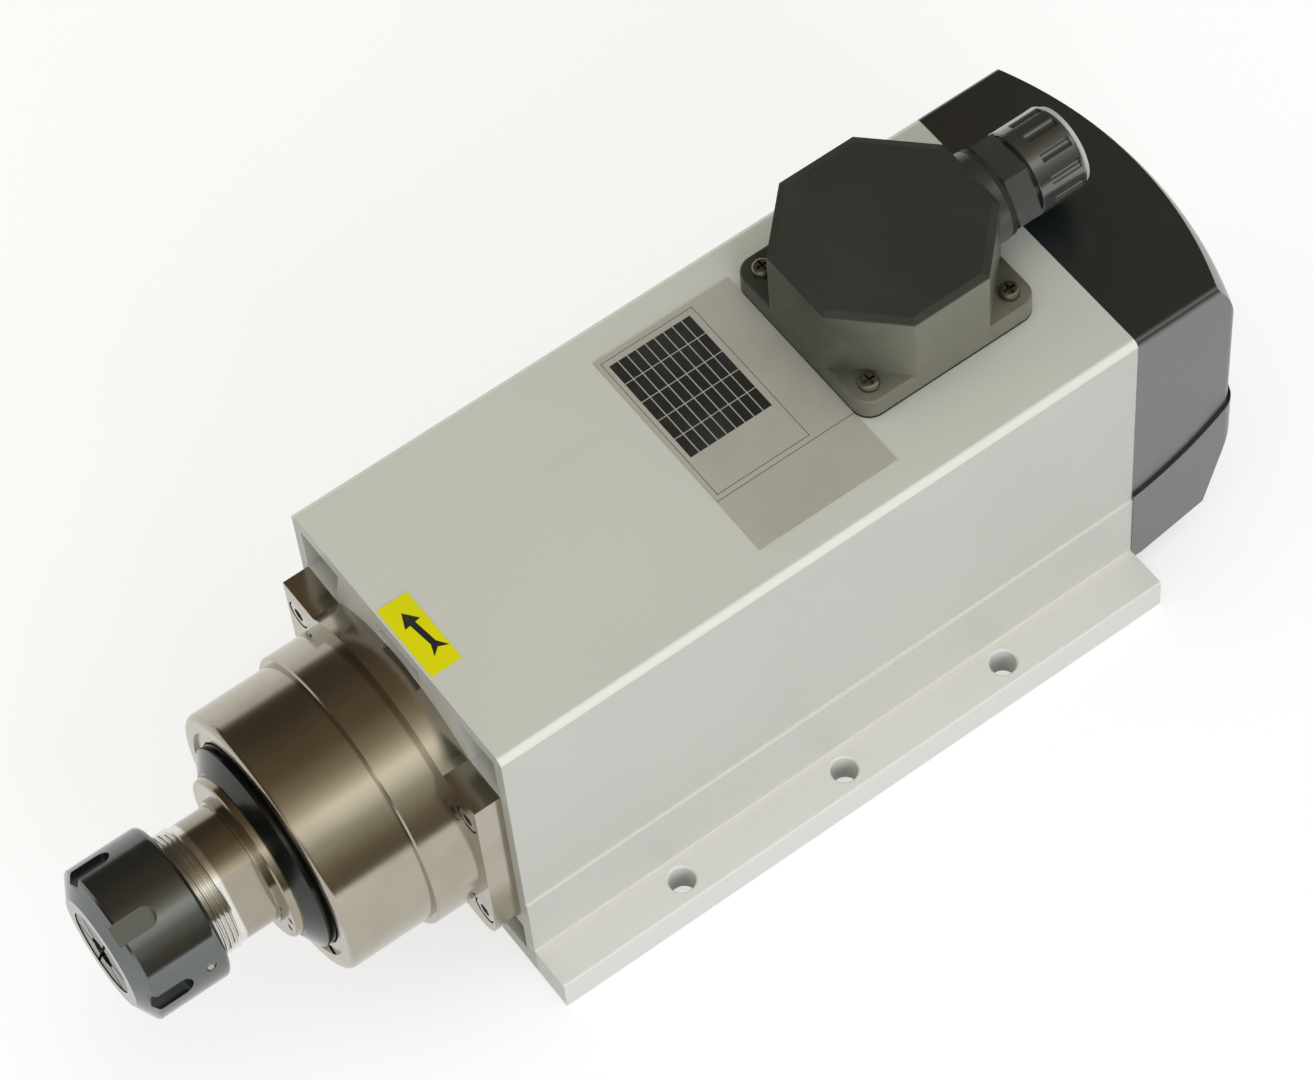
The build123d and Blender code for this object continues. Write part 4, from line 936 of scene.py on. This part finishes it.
@dataclass
class Labels(SubAssembly):
    """The two labels on the roof, with their printed fields and lines."""

    film: float = 0.00005
    columns: int = 5
    rows: int = 9
    table_low: tuple[float, float] = (-0.0359, -0.0085)
    table_high: tuple[float, float] = (0.0040, 0.0205)
    line: float = 0.00036
    rule: float = 0.00024
    divider_x: float = 0.0204
    frame_low: tuple[float, float] = (-0.0378, -0.0098)
    frame_high: tuple[float, float] = (0.0185, 0.0225)
    arrow_tail: tuple[float, float] = (0.0122, -0.1000)
    arrow_head: tuple[float, float] = (-0.0047, -0.1022)
    arrow_width: float = 0.0019
    arrow_head_width: float = 0.0056
    arrow_head_length: float = 0.0048
    feather_length: float = 0.0036
    feather_notch: float = 0.0018

    def table_cells(self, plate_top: float) -> bpy.types.Object:
        """Blank dark cells of the plate's table, with pale lines left between them."""
        width = self.table_high[0] - self.table_low[0]
        length = self.table_high[1] - self.table_low[1]
        middle = ((self.table_low[0] + self.table_high[0]) / 2,
                  (self.table_low[1] + self.table_high[1]) / 2,
                  plate_top + self.film / 2)
        tree = GeometryTree("plate_table_cells", {
            "Width": width, "Length": length, "Columns": self.columns, "Rows": self.rows,
            "Line": self.line, "Thickness": self.film, "Place": middle})
        pitch_x = tree.maths("DIVIDE", tree.size("Width"), tree.size("Columns"))
        pitch_y = tree.maths("DIVIDE", tree.size("Length"), tree.size("Rows"))
        grid = tree.node("GeometryNodeMeshGrid", inputs={
            "Size X": tree.maths("SUBTRACT", tree.size("Width"), pitch_x),
            "Size Y": tree.maths("SUBTRACT", tree.size("Length"), pitch_y),
            "Vertices X": tree.size("Columns"), "Vertices Y": tree.size("Rows")})
        cell_size = tree.node("ShaderNodeCombineXYZ", inputs={
            0: tree.maths("SUBTRACT", pitch_x, tree.size("Line")),
            1: tree.maths("SUBTRACT", pitch_y, tree.size("Line")),
            2: tree.size("Thickness")})
        cell = tree.node("GeometryNodeMeshCube", inputs={"Size": cell_size})
        cells = tree.node("GeometryNodeInstanceOnPoints",
                          inputs={"Points": grid, "Instance": cell})
        placed = tree.node("GeometryNodeTransform",
                           inputs={"Geometry": cells, "Translation": tree.size("Place")})
        return tree.bake(placed, INK)

    def rules(self, plate_top: float) -> bpy.types.Object:
        """The plate's frame and the line that divides it, half as thick as the cells."""
        mesh = bmesh.new()
        (left, near), (right, far) = self.frame_low, self.frame_high
        half = self.rule / 2
        bottom, top = plate_top, plate_top + self.film / 2
        for start, end in (((left, near), (right, near)), ((left, far), (right, far)),
                           ((left, near), (left, far)), ((right, near), (right, far))):
            add_box(mesh, Vector((start[0] - half, start[1] - half, bottom)),
                    Vector((end[0] + half, end[1] + half, top)))
        plate_low, plate_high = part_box("nameplate")
        add_box(mesh, Vector((self.divider_x - half, plate_low.y, bottom)),
                Vector((self.divider_x + half, plate_high.y, top)))
        return to_object(mesh, "plate_rules")

    def arrow(self, label_top: float) -> bpy.types.Object:
        """The arrow that shows which way the spindle turns, with a notched tail."""
        mesh = bmesh.new()
        tail, head = Vector(self.arrow_tail), Vector(self.arrow_head)
        along = (head - tail).normalized()
        across = Vector((-along.y, along.x))
        length = (head - tail).length
        stem, wide = self.arrow_width / 2, self.arrow_head_width / 2
        neck = length - self.arrow_head_length
        side = [(0.0, wide), (self.feather_length, stem), (neck, stem), (neck, wide)]
        steps = [*side, (length, 0.0), *((reach, -off) for reach, off in reversed(side)),
                 (self.feather_notch, 0.0)]
        outline = [tail + along * reach + across * off for reach, off in steps]
        bottom = [mesh.verts.new((p.x, p.y, label_top)) for p in outline]
        top = [mesh.verts.new((p.x, p.y, label_top + self.film)) for p in outline]
        mesh.faces.new(bottom)
        mesh.faces.new(top)
        for i in range(len(outline)):
            j = (i + 1) % len(outline)
            mesh.faces.new((bottom[i], bottom[j], top[j], top[i]))
        return to_object(mesh, "rotation_arrow")

    def build(self) -> None:
        """Dresses the labels and adds their print."""
        plate_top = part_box("nameplate")[1].z
        label_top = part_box("rotation_label")[1].z
        self.dress(FOIL, "nameplate")
        self.dress(YELLOW, "rotation_label")
        self.fit(self.table_cells(plate_top), INK, "plate_metal")
        self.fit(self.rules(plate_top), RULE, "plate_metal")
        self.fit(self.arrow(label_top), INK, "label_yellow")


# Studio


@dataclass(frozen=True)
class Lamp:
    """A square lamp that faces the spindle and isn't mirrored: metres and watts."""

    name: str
    place: Triple
    power: float
    size: float
    colour: Colour = WHITE
    target: Triple = (0.0, 0.0, 0.06)

    def hang(self) -> None:
        """Adds the lamp to the scene."""
        data = bpy.data.lights.new(self.name, "AREA")
        data.energy = self.power
        data.size = self.size
        data.color = self.colour
        made = bpy.data.objects.new(self.name, data)
        made.location = self.place
        ahead = Vector(self.target) - Vector(self.place)
        made.rotation_euler = ahead.to_track_quat("-Z", "Y").to_euler()
        made.visible_glossy = False
        bpy.context.scene.collection.objects.link(made)


@dataclass
class Studio:
    """The camera of the photograph, a white floor and plain soft light."""

    eye: Triple = (0.632688, -0.394665, 1.249138)
    right: Triple = (0.5881435, 0.80650115, -0.06035832)
    down: Triple = (0.66531372, -0.5249124, -0.53087157)
    ahead: Triple = (-0.45983136, 0.27207144, -0.8453001)
    lens: float = 130.619
    sensor: float = 36.0
    sight: float = 20.0
    floor_half: float = 6.0
    floor_drop: float = 0.0002
    floor_colour: Colour = (0.50, 0.50, 0.50)
    floor_roughness: float = 0.9
    floor_glow: float = 0.58
    room: tuple[tuple[float, Colour], ...] = (
        (0.272, (0.85, 0.84, 0.82)), (0.286, (0.11, 0.09, 0.06)), (0.308, (0.08, 0.06, 0.04)),
        (0.367, (0.085, 0.07, 0.05)), (0.422, (0.15, 0.11, 0.07)), (0.478, (0.19, 0.14, 0.09)),
        (0.531, (0.42, 0.36, 0.26)), (0.561, (0.80, 0.74, 0.62)), (0.586, (1.50, 1.42, 1.30)),
        (0.611, (1.15, 1.13, 1.03)), (0.642, (0.55, 0.55, 0.47)), (0.697, (0.25, 0.21, 0.15)),
        (0.753, (0.12, 0.10, 0.06)), (0.769, (0.12, 0.10, 0.06)), (0.781, (0.95, 0.95, 0.92)))
    fill: Colour = (0.565, 0.56, 0.525)
    lamps: tuple[Lamp, ...] = (
        Lamp("key_lamp", (1.5, -0.3, 0.75), power=12.2, size=1.0, colour=(0.96, 0.98, 1.08)),
        Lamp("top_lamp", (0.1, 0.1, 1.6), power=3.4, size=1.2, colour=(1.0, 0.98, 0.88)),
        Lamp("side_lamp", (-0.5, -1.5, 0.8), power=2.0, size=0.8))

    def camera(self) -> None:
        """Puts the camera where the photograph was taken."""
        data = bpy.data.cameras.new("photo_camera")
        data.sensor_width = self.sensor
        data.lens = self.lens
        data.clip_end = self.sight
        made = bpy.data.objects.new("photo_camera", data)
        columns = [Vector(self.right), -Vector(self.down), -Vector(self.ahead)]
        turn = Matrix([[column[row] for column in columns] for row in range(3)])
        made.matrix_world = Matrix.Translation(Vector(self.eye)) @ turn.to_4x4()
        bpy.context.scene.collection.objects.link(made)
        bpy.context.scene.camera = made

    def floor(self) -> None:
        """A wide floor just under the base, which looks white and gives little light."""
        mesh = bmesh.new()
        bmesh.ops.create_grid(mesh, x_segments=1, y_segments=1, size=self.floor_half)
        floor = to_object(mesh, "floor")
        floor.data.transform(Matrix.Translation((0.0, 0.0, -self.floor_drop)))
        material = bpy.data.materials.new("floor_white")
        material.use_nodes = True
        graph = Graph(material.node_tree)
        shown = graph.ray("Is Camera Ray").highest(graph.ray("Is Glossy Ray"))
        shown = shown.highest(graph.ray("Is Transmission Ray"))
        graph.surface({"Base Color": self.floor_colour, "Roughness": self.floor_roughness,
                       "Emission Color": WHITE, "Emission Strength": shown * self.floor_glow})
        floor.data.materials.append(material)

    def world(self) -> None:
        """Even light, white to the camera, with a room of soft strips for metal to mirror."""
        world = bpy.data.worlds.new("studio")
        world.use_nodes = True
        bpy.context.scene.world = world
        graph = Graph(world.node_tree)
        x, _, z = graph.split(graph.node("ShaderNodeTexCoord", output="Generated"))
        turn = x.arctangent(z) / math.tau + 0.5
        room = graph.node("ShaderNodeValToRGB", {"stops": self.room}, {0: turn})
        light = graph.mix(graph.ray("Is Glossy Ray"), self.fill, room)
        light = graph.mix(graph.ray("Is Camera Ray"), light, WHITE)
        back = graph.node("ShaderNodeBackground", {}, {"Color": light, "Strength": 1.0})
        graph.node("ShaderNodeOutputWorld", {}, {"Surface": back})

    def build(self) -> None:
        """Sets the floor, the world and the lamps."""
        bpy.context.scene.view_settings.view_transform = "Standard"
        self.floor()
        self.world()
        for lamp in self.lamps:
            lamp.hang()


def main() -> None:
    """Builds the studio and every sub-assembly."""
    logging.basicConfig(level=logging.INFO)
    studio = Studio()
    studio.camera()
    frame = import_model()
    for part in (Body(frame), Nose(frame), Rotor(frame), ColletChuck(frame), Stator(frame),
                 FanCover(frame), TerminalBox(frame), CableGland(frame), Labels(frame)):
        part.build()
        part.report()
    studio.build()


if __name__ == "__main__":
    main()
